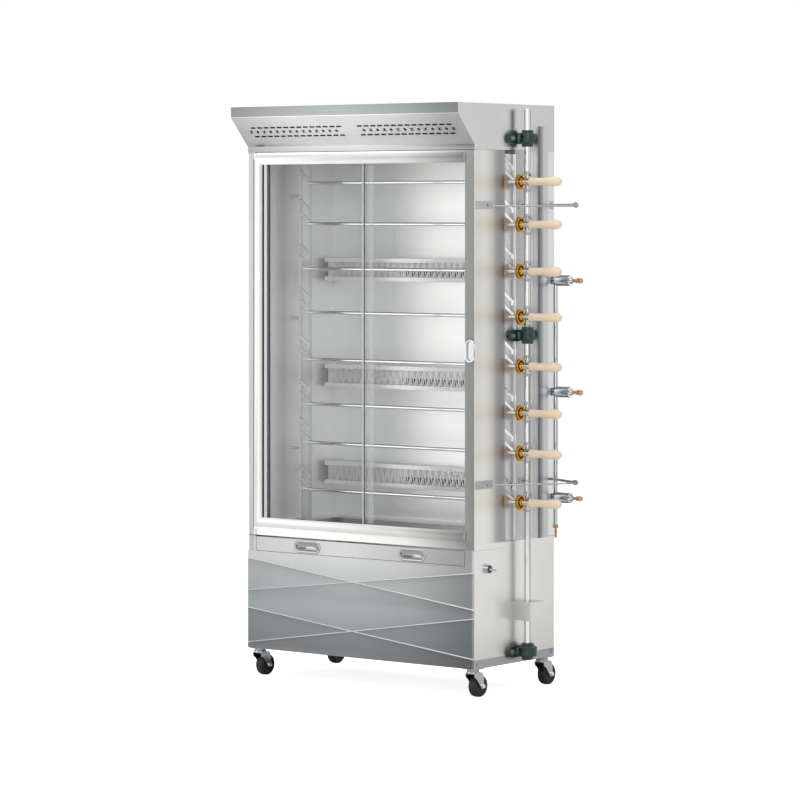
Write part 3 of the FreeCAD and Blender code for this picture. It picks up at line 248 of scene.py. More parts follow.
def at(axis, millimetres):  # one cabinet coordinate in metres of the scene
    return (millimetres + cabinet["shift"][axis]) * cabinet["metre"]


def share(shade, value, axis, low, high):  # how far a coordinate has gone between two cabinet values
    return shade.node("ShaderNodeMapRange", {}, {"Value": value, "From Min": at(axis, low), "From Max": at(axis, high)})


def past(shade, value, axis, low, high):  # 0 below low, 1 above high, smooth between; or the other way round
    return shade.smooth(value, at(axis, low), at(axis, high))


def tone(shade, value, axis, *stops):  # a colour ramp along one coordinate, its stops given in cabinet millimetres
    low, high = stops[0][0], stops[-1][0]
    spread = [((where - low) / (high - low), level if isinstance(level, tuple) else (level,) * 3)
              for where, level in stops]
    return shade.ramp(share(shade, value, axis, low, high), spread)


def toned(shade, colour, amount, *tones):  # colour times its tones where amount is 1, the plain colour where it is 0
    dark = colour
    for one in tones:
        dark = shade.times(dark, one)
    return shade.mix(amount, colour, dark)


def facing(shade, axis, sign):  # 1 on faces that look along an axis, 0 on the others
    return shade.smooth(shade.place("Normal")[axis + 1] * sign, *facingEdge)


# mask for the painted dark reflections along both sides of upright bars
def flanks(shade, low, high):  # 1 on both sides of an upright bar in the photograph's view, by |0.79 nx + 0.61 ny|
    normal = shade.place("Normal")
    return shade.smooth((normal[1] * 0.79 + normal[2] * 0.61).maths("ABSOLUTE"), low, high)


def steel(name, screen, rough, grain=(4, 4, 700), grainDepth=0.12, metal=1.0, streaks=0.05, tones=None):
    # fine streaks in colour, roughness and height, with slow patches of polish:
    # level = 1 + streaks * (streak - 0.5) + tint * (patch - 0.5)
    shade = material(name)
    where, x, y, z = shade.place()
    streak = shade.noise(where, grain, 2.0)
    patch = shade.noise(where, polish["stretch"], 2.0)
    level = streak * streaks + patch * polish["tint"] + (1.0 - (streaks + polish["tint"]) / 2)
    colour = shade.times(rgba(*screen), shade.grey(level))
    if tones:
        colour = tones(shade, x, y, z, colour)
    roughness = streak * polish["sheen"] + patch * polish["sheen"] + (rough - polish["sheen"])
    finish[name] = shade.finish(Base_Color=colour, Metallic=metal, Roughness=roughness,
                                Normal=shade.bump(streak, grainDepth, polish["bump"]))


# painted light on the base front: the rise stops are a painted reflection, the shadow colour is painted shade under
# each rib, and the last colour is a painted highlight on the rib tops
baseRibs = {"lines": ((319.0, 200.0), (205.0, 325.0), (144.0, 33.0), (20.0, 171.0)), "fade": 16.0, "depth": 0.30,
            "rise": ((0, (136, 138, 141)), (86, (151, 155, 158)), (208, (178, 182, 184)), (346, (208, 208, 208))),
            "shadow": (0.05, 0.06, 0.07, 1), "ridgeHighlight": (238, 238, 230)}


def baseTones(shade, x, y, z, colour):
    # painted reflection that is darker downwards, a painted highlight along each rib and a soft painted shadow under
    # it: exp(-drop / fade)
    rise = tone(shade, z, 2, *[(where, srgb(*screen)) for where, screen in baseRibs["rise"]])
    sweep = tone(shade, x, 0, (-1000, 0.96), (-850, 1.0), (-550, 1.0), (-280, 0.86), (-60, 0.56), (-12, 0.52),
                 (-8, 0.9), (0, 0.9))
    colour = toned(shade, colour, facing(shade, 1, -1.0), rise, sweep)
    along = share(shade, x, 0, -1000, -1.5)
    shadow = 0.0
    for left, right in baseRibs["lines"]:
        below = along * ((right - left) * cabinet["metre"]) + at(2, left) - z
        one = (below * (-1.0 / (baseRibs["fade"] * cabinet["metre"]))).maths("EXPONENT") * (below > 0.0)
        shadow = one.maths("MAXIMUM", one, shadow)
    colour = shade.mix(shadow * baseRibs["depth"], colour, baseRibs["shadow"])
    return shade.mix(past(shade, y, 1, -0.3, -1.2), colour, rgba(*baseRibs["ridgeHighlight"]))


def frontTones(shade, x, y, z, colour):  # painted reflection: the drawer front sinks to grey towards the right
    sweep = tone(shade, x, 0, (-1000, 0.56), (-880, 0.62), (-550, 0.68), (-280, 0.52), (-120, 0.38), (0, 0.32))
    return toned(shade, colour, facing(shade, 1, -1.0), sweep)


def hoodTones(shade, x, y, z, colour):  # painted reflection: a blue-grey lip over a bright slope that sinks to grey at both ends, and painted shade on the faces that look right
    sweep = tone(shade, x, 0, (-1000, 0.60), (-912, 0.70), (-700, 0.94), (-500, 1.0), (-250, 0.82), (-75, 0.54),
                 (0, 0.50))
    rise = tone(shade, z, 2, (1757, 0.46), (1774, 0.52), (1777, 0.94), (1800, 1.02), (1872, 1.22), (1878, 1.22),
                (1880, (0.33, 0.355, 0.37)), (1915, (0.30, 0.325, 0.34)))
    front = toned(shade, colour, facing(shade, 1, -1.0), sweep, rise)
    return toned(shade, front, facing(shade, 0, 1.0), shade.grey(0.76))


def doorTones(shade, x, y, z, colour):  # painted reflection and shade: white mouldings that sink to mid grey at the right stile, brighter at the top
    sweep = tone(shade, x, 0, (-972, 0.93), (-900, 1.0), (-520, 0.93), (-300, 0.84), (-150, 0.52), (-60, 0.34),
                 (-41, 0.30), (-39, 0.26), (0, 0.24))
    rise = tone(shade, z, 2, (403, 1.0), (480, 1.0), (620, 0.92), (1300, 0.98), (1690, 0.98), (1755, 1.14))
    return toned(shade, colour, facing(shade, 1, -1.0), sweep, rise)


def skinTones(shade, x, y, z, colour):
    # painted reflection and shade: on the right wall a bright corner sheet, painted shade in the recess behind the rail
    # and near the floor, and a painted dark reflection on the channel that stands proud, darkest at its front; other
    # faces get a cooler painted reflection tint, in painted shade at the far left front edge
    above = tone(shade, y, 1, (0, 1.0), (60, 1.06), (85, 0.97), (100, 0.84), (112, 0.70), (125, (0.53, 0.54, 0.56)),
                 (140, (0.46, 0.47, 0.50)), (160, (0.44, 0.45, 0.48)), (176, (0.50, 0.51, 0.54)),
                 (214, (0.86, 0.87, 0.92)), (246, (0.68, 0.69, 0.75)), (314, (0.68, 0.69, 0.75)), (322, 1.05),
                 (340, 1.0), (404, (1.10, 1.13, 1.20)), (467, (1.10, 1.13, 1.20)))
    under = tone(shade, y, 1, (0, 1.06), (110, 1.05), (150, 1.02), (190, 1.04), (222, 1.08), (300, 1.04), (467, 0.97))
    depth = shade.mix(past(shade, z, 2, 416, 424), under, above)
    rise = tone(shade, z, 2, (0, 0.84), (60, 0.92), (200, 1.06), (488, 1.12), (800, 1.0), (1300, 0.94), (1757, 0.94))
    channel = tone(shade, y, 1, (341, (0.14, 0.145, 0.155)), (352, (0.28, 0.29, 0.31)), (363, (0.48, 0.50, 0.53)),
                   (375, (0.80, 0.82, 0.86)), (404, (0.84, 0.86, 0.90)))
    proud = past(shade, x, 0, 12, 16)
    both = shade.mix(proud, toned(shade, colour, 1.0, depth, rise), toned(shade, colour, proud, channel))
    edge = facing(shade, 1, -1.0) * (x < at(0, -940.0))
    cool = shade.times(colour, shade.mix(edge, (0.93, 0.96, 1.0, 1), (0.50, 0.51, 0.53, 1)))
    return shade.mix(facing(shade, 0, 1.0), cool, both)


def railTones(shade, x, y, z, colour):  # painted shade: the webs are greyer than the flanges that face the front, and the faces that look up and down, such as the slot edges, are painted near black
    depth = tone(shade, y, 1, (176, 0.44), (182, 0.80), (206, 0.86), (233, 0.66))
    web = toned(shade, colour, facing(shade, 0, 1.0), depth)
    return toned(shade, web, facing(shade, 2, 1.0) + facing(shade, 2, -1.0), shade.grey(0.06))


# the port colour is painted shade inside the burner's holes
burnerLook = {"levels": (1339.0, 955.0, 604.0), "pitch": 27.0, "portDrop": 12.0, "portReach": 9.0,
              "portShade": (0.01, 0.01, 0.012, 1)}


def burnerTones(shade, x, y, z, colour):
    # painted light: bright lips and guard before a screen in painted shade, whose ports are painted dark as shade where
    # sin(2 pi x / pitch) passes about -0.35; the lips' painted reflection sinks to grey to the right, and faces that
    # look up get painted shade
    screen = tone(shade, x, 0, (-945, 0.80), (-600, 0.76), (-540, 0.50), (-30, 0.48))
    depth = shade.mix(past(shade, y, 1, 376, 380), white, screen)
    lips = tone(shade, x, 0, (-945, 1.0), (-640, 0.96), (-520, 0.72), (-420, 0.52), (-30, 0.54))
    sweep = shade.mix(past(shade, y, 1, 369, 371), lips, white)
    ahead = facing(shade, 1, -1.0)
    beat = (x * (2.0 * math.pi / (burnerLook["pitch"] * cabinet["metre"]))).maths("SINE")
    ports = shade.smooth(beat, -0.5, -0.2) * past(shade, x, 0, -640, -560) * past(shade, y, 1, 382, 384)
    reach = burnerLook["portReach"] * cabinet["metre"]
    rows = sum((z - at(2, level - burnerLook["portDrop"])).maths("ABSOLUTE") < reach for level in burnerLook["levels"])
    front = shade.mix(ports * rows * ahead, toned(shade, colour, ahead, depth, sweep), burnerLook["portShade"])
    return toned(shade, front, facing(shade, 2, 1.0), shade.grey(0.6))


def coverTones(shade, x, y, z, colour):  # painted shade: the front face sinks to grey towards the wall
    return toned(shade, colour, facing(shade, 1, -1.0), tone(shade, x, 0, (0, 0.52), (40, 0.66), (74, 0.80)))


def cupTones(shade, x, y, z, colour):  # painted shade: the pressed hollow is greyer than the rim that stands proud of it
    depth = tone(shade, y, 1, (-9, 1.0), (-3.6, 1.0), (-3.1, 0.56), (-1.4, 0.48), (12, 0.50))
    return toned(shade, colour, facing(shade, 1, -1.0), depth)


def trackTones(shade, x, y, z, colour):  # painted shade in the left jamb's front groove, with a painted dark line of shade at its inner lip
    jamb = tone(shade, x, 0, (-940, 0.05), (-926.5, 0.05), (-925.5, 0.85), (-918.5, 0.85), (-917.5, 0.34),
                (-916, 0.34), (-915, 1.0))
    return toned(shade, colour, past(shade, x, 0, -900, -905), jamb)


def rodTones(shade, x, y, z, colour):  # painted dark reflection along its upper side
    return toned(shade, colour, facing(shade, 2, 1.0), shade.grey(0.22))


# the dark colour is painted reflection and shade on the pipe and valves
gasLook = {"valvesFrom": 37.0, "dark": (0.10, 0.11, 0.12, 1), "nozzleTop": 461.9, "nozzleFront": 400.0,
           "nozzle": (196, 150, 100)}


def gasTones(shade, x, y, z, colour):  # painted dark reflection along the pipe's sides and painted shade over and under each valve; a brass nozzle
    sides = flanks(shade, 0.40, 0.75) * (x < at(0, gasLook["valvesFrom"]))
    over = facing(shade, 2, 1.0) * 0.8 + facing(shade, 2, -1.0) * 0.9
    shaded = shade.mix(sides + over, colour, gasLook["dark"])
    nozzle = (z < at(2, gasLook["nozzleTop"])) * (y > at(1, gasLook["nozzleFront"]))
    return shade.mix(nozzle, shaded, rgba(*gasLook["nozzle"]))


def shaftTones(shade, x, y, z, colour):  # painted reflection: two narrow dark bands, as on a polished bar
    return shade.mix(flanks(shade, 0.62, 0.80), colour, (0.10, 0.10, 0.11, 1))


def linerTones(shade, x, y, z, colour):  # painted reflection and shade: the back wall is greyer left of its seam and darker towards the top, the left wall greyer still and darker higher up
    wall = tone(shade, x, 0, (-971, (0.93, 0.96, 0.98)), (-760, (0.96, 0.99, 1.0)), (-684, (0.92, 0.94, 0.97)),
                (-680, (0.97, 0.98, 0.98)), (-600, 1.0), (-500, 1.0), (0, 1.0))
    rise = tone(shade, z, 2, (448, 0.92), (520, 0.96), (650, 1.0), (900, 0.96), (1127, 0.98), (1553, 0.96),
                (1744, 0.84))
    back = toned(shade, colour, facing(shade, 1, -1.0), wall, rise)
    depth = tone(shade, y, 1, (60, 0.96), (110, 0.88), (160, 0.62), (200, 0.74), (240, 0.96), (434, 1.0))
    lift = tone(shade, z, 2, (448, 1.0), (600, 1.0), (1100, 1.0), (1600, 0.86), (1744, 0.80))
    return toned(shade, back, facing(shade, 0, 1.0), depth, lift)


steel("frameSteel", (176, 178, 182), 0.34)
steel("skinSteel", (240, 239, 235), 0.36, (5, 900, 4), 0.06, streaks=0.03, tones=skinTones)
steel("baseSteel", (252, 253, 253), 0.44, (3, 3, 500), 0.05, metal=0.75, tones=baseTones)
steel("hoodSteel", (244, 244, 243), 0.28, (3, 500, 500), 0.08, tones=hoodTones)
steel("linerSteel", (255, 255, 253), 0.32, (500, 500, 4), 0.05, metal=0.45, streaks=0.03, tones=linerTones)
steel("doorSteel", (252, 252, 248), 0.36, (4, 4, 400), 0.05, metal=0.6, streaks=0.02, tones=doorTones)
steel("drawerSteel", (240, 240, 240), 0.36, (3, 500, 500), 0.05, streaks=0.03, tones=frontTones)
steel("railSteel", (248, 250, 250), 0.30, (200, 200, 5), 0.04, metal=0.8, streaks=0.02, tones=railTones)
steel("burnerSteel", (244, 244, 242), 0.30, (60, 300, 300), 0.08, metal=0.6, tones=burnerTones)
steel("rodSteel", (244, 244, 242), 0.14, (5, 900, 900), 0.03, streaks=0.02, tones=rodTones)
steel("coverSteel", (240, 240, 238), 0.30, (5, 5, 500), 0.05, streaks=0.03, tones=coverTones)
steel("gasSteel", (236, 238, 240), 0.08, (40, 40, 40), 0.01, streaks=0.01, tones=gasTones)
steel("casterSteel", (196, 199, 203), 0.10, (40, 40, 40), 0.01, streaks=0.01)
steel("boltSteel", (150, 156, 152), 0.22, (200, 200, 200), 0.05)
steel("armSteel", (188, 189, 188), 0.26, (200, 200, 200), 0.05)
steel("cupSteel", (236, 237, 238), 0.12, (40, 40, 40), 0.01, streaks=0.01, tones=cupTones)
steel("chrome", (238, 239, 240), 0.05, (40, 40, 40), 0.01, streaks=0.01)
steel("shaftSteel", (250, 250, 248), 0.06, (5, 5, 900), 0.03, streaks=0.02, tones=shaftTones)
steel("brightSteel", (250, 250, 248), 0.06, (5, 5, 900), 0.03, streaks=0.02)
steel("wormSteel", (206, 208, 212), 0.14, (300, 300, 60), 0.10)
# a near-black sheet finish that stands for the shade inside the hood behind its vents
steel("ventShadeBlack", (12, 13, 14), 0.6, (40, 40, 40), 0.02, metal=0.0)
steel("motorPaint", (84, 88, 92), 0.55, (200, 200, 200), 0.05, metal=0.1)


def brass(name, screen, dark, rough, dish=None):  # rubbed brass, light and dark at random; a gear gets painted shade in its dish and a painted highlight on the faces of rim and hub
    shade = material(name)
    where, x = shade.place()[:2]
    grain = shade.noise(where, (260, 260, 260), 3.0)
    colour = shade.mix(shade.smooth(grain, 0.35, 0.75), rgba(*screen), rgba(*dark))
    if dish:
        paintedDishLight = tone(shade, x, 0, *[(place, srgb(*level)) for place, level in dish])
        colour = toned(shade, colour, facing(shade, 0, 1.0), paintedDishLight)
    finish[name] = shade.finish(Base_Color=colour, Metallic=1.0, Roughness=grain * 0.16 + rough,
                                Normal=shade.bump(grain, 0.06, 0.0003))


def darkIron(name, screen):  # thick enamel on rough castings
    shade = material(name)
    where = shade.place()[0]
    sand = shade.noise(where, (420, 420, 420), 4.0)
    wave = shade.noise(where, (60, 60, 60), 2.0)
    colour = shade.mix(shade.smooth(wave, 0.35, 0.7), rgba(*screen), rgba(*[v * 0.72 for v in screen]))
    finish[name] = shade.finish(Base_Color=colour, Metallic=0.0, Roughness=sand * 0.14 + 0.28, Coat_Weight=0.35,
                                Normal=shade.bump(sand + wave, 0.12, 0.0004))


def turnedWood(name, pale, dark, poreScreen, cloudScreen):
    # fibres along the handle, stretched pores, pale clouds and a thin lacquer
    shade = material(name)
    where = shade.place()[0]
    fibre = shade.noise(where, (18, 260, 260), 4.0, 0.6)
    pores = shade.noise(where, (60, 1400, 1400), 2.0, 0.5)
    cloud = shade.noise(where, (14, 14, 14), 2.0)
    colour = shade.mix(shade.smooth(fibre, 0.42, 0.72), rgba(*pale), rgba(*dark))
    colour = shade.mix(shade.smooth(pores, 0.58, 0.78) * 0.35, colour, rgba(*poreScreen))
    colour = shade.mix(shade.smooth(cloud, 0.40, 0.70) * 0.25, colour, rgba(*cloudScreen))
    finish[name] = shade.finish(Base_Color=colour, Metallic=0.0, Roughness=pores * 0.10 + 0.42, Coat_Weight=0.12,
                                Normal=shade.bump(fibre + pores, 0.15, 0.0003))


def blackRubber(name, screen, dustScreen, rough):  # black rubber with a little pale dust
    shade = material(name)
    dust = shade.noise(shade.place()[0], (90, 90, 90), 4.0)
    colour = shade.mix(shade.smooth(dust, 0.5, 0.85) * 0.4, rgba(*screen), rgba(*dustScreen))
    finish[name] = shade.finish(Base_Color=colour, Metallic=0.0, Roughness=dust * 0.16 + rough,
                                Normal=shade.bump(dust, 0.12, 0.0004))


# where each pane's painted edge highlight and painted dark line lie, and the colour of that dark line
paneEdge = {"left": -489.0, "middle": -481.0, "right": -477.5, "hazeFrom": -468.0, "dark": (0.02, 0.02, 0.025, 1)}


def clearGlass(name, tint, haze):
    # thin sheet: see-through, with a faint haze; each pane has a ground edge with a painted highlight strip outside and
    # a painted dark line inside, and the back layer right of hazeFrom is a little hazier
    shade = material(name)
    where, x, y = shade.place()[:3]
    wipe = shade.noise(where, (2, 2, 5), 3.0)
    alpha = shade.smooth(wipe, 0.3, 0.7, haze * 0.8, haze * 1.2)
    front = past(shade, y, 1, 12.0, 10.5)
    pale = (x > at(0, paneEdge["left"])) * (x < at(0, paneEdge["middle"])) * front
    dark = (x > at(0, paneEdge["middle"])) * (x < at(0, paneEdge["right"])) * front
    soft = (x > at(0, paneEdge["hazeFrom"])) * (1.0 - front)
    colour = shade.mix(dark, rgba(*tint), paneEdge["dark"])
    finish[name] = shade.finish(Base_Color=colour, Metallic=0.0, Roughness=wipe * 0.02 + 0.02,
                                Alpha=alpha + pale * 0.5 + dark * 0.8 + soft * 0.12)


# dish stops: painted shade across the web, a painted highlight on the faces of rim and hub
brass("gearBrass", (240, 188, 92), (208, 152, 66), 0.16,
      ((34.0, (92, 70, 50)), (37.2, (100, 74, 50)), (38.4, (255, 236, 190)), (39.0, (255, 250, 220))))
brass("valveBrass", (234, 202, 160), (190, 146, 104), 0.16)
darkIron("bearingGreen", (24, 62, 48))
turnedWood("handleWood", (248, 228, 200), (238, 213, 180), (176, 138, 92), (238, 214, 178))
blackRubber("tyreRubber", (22, 22, 21), (58, 56, 52), 0.38)
steel("trackSteel", (206, 207, 210), 0.34, (3, 3, 400), 0.05, metal=0.8, tones=trackTones)
clearGlass("paneGlass", (226, 230, 234), 0.035)
nodeFinish = {
    "cabinet_frame": "frameSteel", "base_panel": "baseSteel", "side_panel_left": "skinSteel",
    "side_panel_right": "skinSteel", "back_panel": "skinSteel", "hood": "hoodSteel", "chamber_liner": "linerSteel",
    "door_frame": "doorSteel", "glass_tracks": "trackSteel", "door_pull": "chrome", "drip_drawer": "drawerSteel",
    "drawer_pulls": "chrome", "spit_rail_left": "railSteel", "spit_rail_right": "railSteel",
    "burners": "burnerSteel", "gas_line": "gasSteel", "drive_shaft": "shaftSteel", "worms": "wormSteel",
    "pillow_blocks": "bearingGreen", "drive_cover": "coverSteel", "gear_motor": "motorPaint",
    "guard_arms": "armSteel", "switch_knob": "gasSteel", "glass_pane_left": "paneGlass",
    "glass_pane_right": "paneGlass",
}
nodeKinds = {"valve_knob": "valveBrass", "spit_rod": "rodSteel", "spit_gear": "gearBrass",
             "spit_handle": "handleWood", "caster_fork": "chrome", "caster_wheel": "tyreRubber"}
for nodeName, node in frame["nodes"].items():
    chosen = nodeFinish.get(nodeName) or next(nodeKinds[kind] for kind in nodeKinds if nodeName.startswith(kind))
    node.data.materials.clear()
    node.data.materials.append(finish[chosen])
print("finishes on", len(frame["nodes"]), "nodes")

# meshes; the two welds of edgeWork are metres, its angles degrees
bodyOfNode = {node: body for body, nodes in frame["record"]["behaviour"]["bodies"].items() for node in nodes}
edgeWork = {"weld": 1e-7, "solidWeld": 2e-6, "flat": 0.6, "sharp": 38.0, "bevelFrom": 30.0, "segments": 2}


def gridFaces(rows, columns, closeRows=False, closeColumns=False):  # quads between neighbours of a grid of points
    row, column = np.meshgrid(np.arange(rows if closeRows else rows - 1),
                              np.arange(columns if closeColumns else columns - 1), indexing="ij")
    nextRow, nextColumn = (row + 1) % rows, (column + 1) % columns
    quads = np.stack([row * columns + column, row * columns + nextColumn,
                      nextRow * columns + nextColumn, nextRow * columns + column], -1)
    return quads.reshape(-1, 4)


def joined(shells):  # several (points, faces) pairs as one
    points, faces, start = [], [], 0
    for shellPoints, shellFaces in shells:
        flat = np.asarray(shellPoints, float).reshape(-1, 3)
        faces += [[int(index) + start for index in face] for face in shellFaces]
        points.append(flat)
        start += len(flat)
    return np.concatenate(points), faces


def axesAlong(axis):  # the unit vector along an axis, and two more that are square to it and to each other
    axis = np.asarray(axis, float) / np.linalg.norm(axis)
    helper = np.array([0.0, 0.0, 1.0]) if abs(axis[2]) < 0.9 else np.array([1.0, 0.0, 0.0])
    u = np.cross(axis, helper)
    u /= np.linalg.norm(u)
    return axis, u, np.cross(axis, u)


def lathe(profile, centre, axis, sides, closed=False):
    # profile rows are (along, radius); point = centre + along * axis + radius * (cos(t) * u + sin(t) * v)
    profile = np.asarray(profile, float)
    axis, u, v = axesAlong(axis)
    angle = np.linspace(0, 2 * np.pi, sides, endpoint=False)
    ring = np.cos(angle)[:, None] * u + np.sin(angle)[:, None] * v
    points = np.asarray(centre, float) + profile[:, :1, None] * axis + profile[:, 1, None, None] * ring[None]
    return points, gridFaces(len(profile), sides, closed, True)


def slab(outline, low, high, axis):
    # a flat outline of (first, second) pairs carried straight along an axis from low to high; the caps are its ends
    outline = np.asarray(outline, float)
    others = [index for index in range(3) if index != axis]
    points = np.zeros((2, len(outline), 3))
    points[:, :, others] = outline
    points[0, :, axis], points[1, :, axis] = low, high
    count = len(outline)
    caps = [list(range(count))[::-1], list(range(count, 2 * count))]
    return points, gridFaces(2, count, False, True).tolist() + caps


def ovalPath(centre, width, height, steps):
    # a stadium: two half circles whose diameter is the short side, joined by straight runs, as (first, second) pairs
    radius = min(width, height) / 2
    reach = np.array([width / 2 - radius, height / 2 - radius])
    first = 0.0 if width > height else np.pi / 2
    quarter = np.pi / 2
    turn = np.concatenate([np.linspace(-quarter, quarter, steps), np.linspace(quarter, 3 * quarter, steps)]) + first
    side = np.where(np.arange(2 * steps) < steps, 1.0, -1.0)
    return np.asarray(centre) + side[:, None] * reach + radius * np.stack([np.cos(turn), np.sin(turn)], -1)


def hang(name, mesh, finishName, body, replaced, sharp, bevel):
    # smooth between its sharp edges, rounded along them where a width is given, and riding on its body
    mesh.polygons.foreach_set("use_smooth", np.ones(len(mesh.polygons), bool))
    mesh.set_sharp_from_angle(angle=math.radians(sharp))
    mesh.materials.clear()
    mesh.materials.append(finish[finishName])
    piece = placed(name, mesh)
    if bevel:
        cut = piece.modifiers.new("softEdges", "BEVEL")
        cut.width, cut.segments = bevel * cabinet["metre"], edgeWork["segments"]
        cut.limit_method, cut.angle_limit = "ANGLE", math.radians(edgeWork["bevelFrom"])
        cut.use_clamp_overlap = cut.harden_normals = True
    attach(piece, body)
    if replaced:
        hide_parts(*replaced)


def addPiece(name, shells, finishName, body, replaced=(), sharp=edgeWork["sharp"], bevel=0.0):
    # welds the shells, turns their faces outwards and hangs the piece
    points, faces = joined(shells)
    mesh = bpy.data.meshes.new(name)
    mesh.from_pydata(inScene(points).tolist(), [], faces)
    sculpt = bmesh.new()
    sculpt.from_mesh(mesh)
    bmesh.ops.remove_doubles(sculpt, verts=sculpt.verts, dist=edgeWork["weld"])
    bmesh.ops.dissolve_degenerate(sculpt, edges=sculpt.edges, dist=edgeWork["weld"])
    bmesh.ops.recalc_face_normals(sculpt, faces=sculpt.faces)
    sculpt.to_mesh(mesh)
    sculpt.free()
    hang(name, mesh, finishName, body, replaced, sharp, bevel)


def softened(nodeName, width):
    # a merged copy of the solid with small rounded edges, which catch the light as folded sheet does
    name = nodeName + ".soft"
    mesh = frame["nodes"][nodeName].data.copy()
    mesh.name = name
    sculpt = bmesh.new()
    sculpt.from_mesh(mesh)
    bmesh.ops.remove_doubles(sculpt, verts=sculpt.verts, dist=edgeWork["solidWeld"])
    bmesh.ops.dissolve_limit(sculpt, angle_limit=math.radians(edgeWork["flat"]), verts=sculpt.verts, edges=sculpt.edges)
    sculpt.to_mesh(mesh)
    sculpt.free()
    hang(name, mesh, nodeFinish[nodeName], bodyOfNode[nodeName], [nodeName], edgeWork["sharp"],
         width)


# folded sheet and bar work
softEdges = {"cabinet_frame": 0.8, "base_panel": 0.5, "side_panel_left": 0.5, "side_panel_right": 0.5,
             "back_panel": 0.5, "hood": 0.5, "chamber_liner": 0.4, "door_frame": 0.6, "glass_tracks": 0.3,
             "drip_drawer": 0.4, "spit_rail_left": 0.35, "spit_rail_right": 0.35, "burners": 0.4,
             "drive_cover": 0.8, "guard_arms": 0.6}
for nodeName, width in softEdges.items():
    softened(nodeName, width)
print("soft edges on", len(softEdges), "nodes")


# painted shade behind the hood's vents: a thin black sheet that lies 14 mm behind the slope, standing for the shade
# inside the hood
ventShade = {"rows": ((-70.0, 1876.0), (-4.0, 1803.0)), "thick": 1.2, "left": -990.0, "right": -10.0}
ventShadeOutline = np.array(ventShade["rows"] + ventShade["rows"][::-1])
ventShadeOutline[2:] += ventShade["thick"]
addPiece("ventShadeSheet", [slab(ventShadeOutline, ventShade["left"], ventShade["right"], 0)], "ventShadeBlack", "cabinet")
print("baffle hung")


# turned wooden handles
handle = {"levels": (1649.0, 1503.0, 1343.0, 1187.0, 1018.5, 859.0, 721.0, 553.0), "y": 218.0, "start": 76.0,
          "end": 205.0, "waist": 12.5, "neckSwell": 2.0, "neckWide": 0.17, "palmSwell": 4.0, "palmAt": 0.75,
          "palmWide": 0.24, "groove": 0.7, "grooveAt": 0.055, "grooveWide": 0.012, "endRound": 17.0}


def bulge(part, centre, width):  # exp(-((part - centre) / width)^2)
    return np.exp(-((part - centre) / width) ** 2)


def handleProfile():
    # radius = waist + neck bulge + palm bulge - groove, times a quarter ellipse over the rounded end
    length, cap = handle["end"] - handle["start"], handle["endRound"]
    along = np.concatenate([np.linspace(0, length - cap, 46),
                            length - cap * (1 - np.sin(np.linspace(0, np.pi / 2, 16)[1:]))])
    part = along / length
    radius = (handle["waist"] + handle["neckSwell"] * bulge(part, 0.0, handle["neckWide"])
              + handle["palmSwell"] * bulge(part, handle["palmAt"], handle["palmWide"])
              - handle["groove"] * bulge(part, handle["grooveAt"], handle["grooveWide"]))
    past = np.clip((along - (length - cap)) / cap, 0, 1)
    radius = radius * np.sqrt(np.clip(1 - past ** 2, 0, 1))
    edge = [(0.0, 0.0), (0.0, radius[0] - 1.2), (0.35, radius[0] - 0.35)]
    return np.concatenate([edge, np.stack([along[1:], radius[1:]], -1)])


for number, level in enumerate(handle["levels"], 1):
    shell = lathe(handleProfile(), (handle["start"], handle["y"], level), (1, 0, 0), 56)
    addPiece("woodHandle%d" % number, [shell], "handleWood", "spit_%d" % number,
             ["spit_handle_%d" % number], sharp=50)
print("handles turned")


# brass worm gears
gear = {"x": 34.0, "teeth": 34, "tip": 26.7, "root": 23.8, "rim": 20.3, "web": 2.0, "face": 5.0, "hub": 11.0,
        "hubReach": 5.0, "bore": 6.05, "phase": 0.06, "perTooth": 12, "across": 9, "steep": 1.165, "wide": 0.423}


def gearShell(level):
    # section rows (x, radius) round the disc; on the rim radius = tip - (tip - root) * (1 - tooth), where
    # tooth = 0.5 + steep * (cos(teeth * angle) - wide), kept between 0 and 1
    face, rim, web, hub, reach = gear["face"], gear["rim"], gear["web"], gear["hub"], gear["hubReach"]
    across = gear["across"]
    outer = np.stack([np.linspace(-face, face, across), np.full(across, gear["tip"])], -1)
    back = [(face, rim + 0.9), (face - 0.9, rim), (web + 1.0, rim - 0.5), (web, rim - 1.6), (web, hub + 1.3),
            (web + 1.0, hub + 0.2), (reach - 0.7, hub), (reach, hub - 0.7), (reach, gear["bore"])]
    front = [(-x, r) for x, r in back[::-1]]
    section = np.concatenate([outer, back, front])
    columns = gear["teeth"] * gear["perTooth"]
    angle = np.linspace(0, 2 * np.pi, columns, endpoint=False)
    tooth = np.cos(gear["teeth"] * (angle - math.radians(gear["phase"]))) - gear["wide"]
    tooth = np.clip(0.5 + gear["steep"] * tooth, 0, 1)
    radius = np.repeat(section[:, 1:], columns, 1)
    radius[:across] -= (gear["tip"] - gear["root"]) * (1 - tooth)
    points = np.stack([np.repeat(section[:, :1], columns, 1) + gear["x"],
                       handle["y"] + radius * np.cos(angle), level + radius * np.sin(angle)], -1)
    return points, gridFaces(len(section), columns, True, True)


for number, level in enumerate(handle["levels"], 1):
    addPiece("brassGear%d" % number, [gearShell(level)], "gearBrass", "spit_%d" % number,
             ["spit_gear_%d" % number], sharp=30)
print("gears cut")


# green bearing housings
bearing = {"levels": (1797.5, 1122.4, 40.0), "shaftX": 34.0, "shaftY": 259.5, "bore": 10.05,
           "drums": (26.0, 26.0, 33.0), "drumHalf": 16.5, "shoulder": 3.2, "hub": 20.0, "hubHalf": 28.5,
           "footLength": 155.0, "footWidth": 38.0, "footThick": 12.0,
           "boltOffset": 58.0, "boltAcross": 16.0, "boltHigh": 6.0, "washer": 21.0}


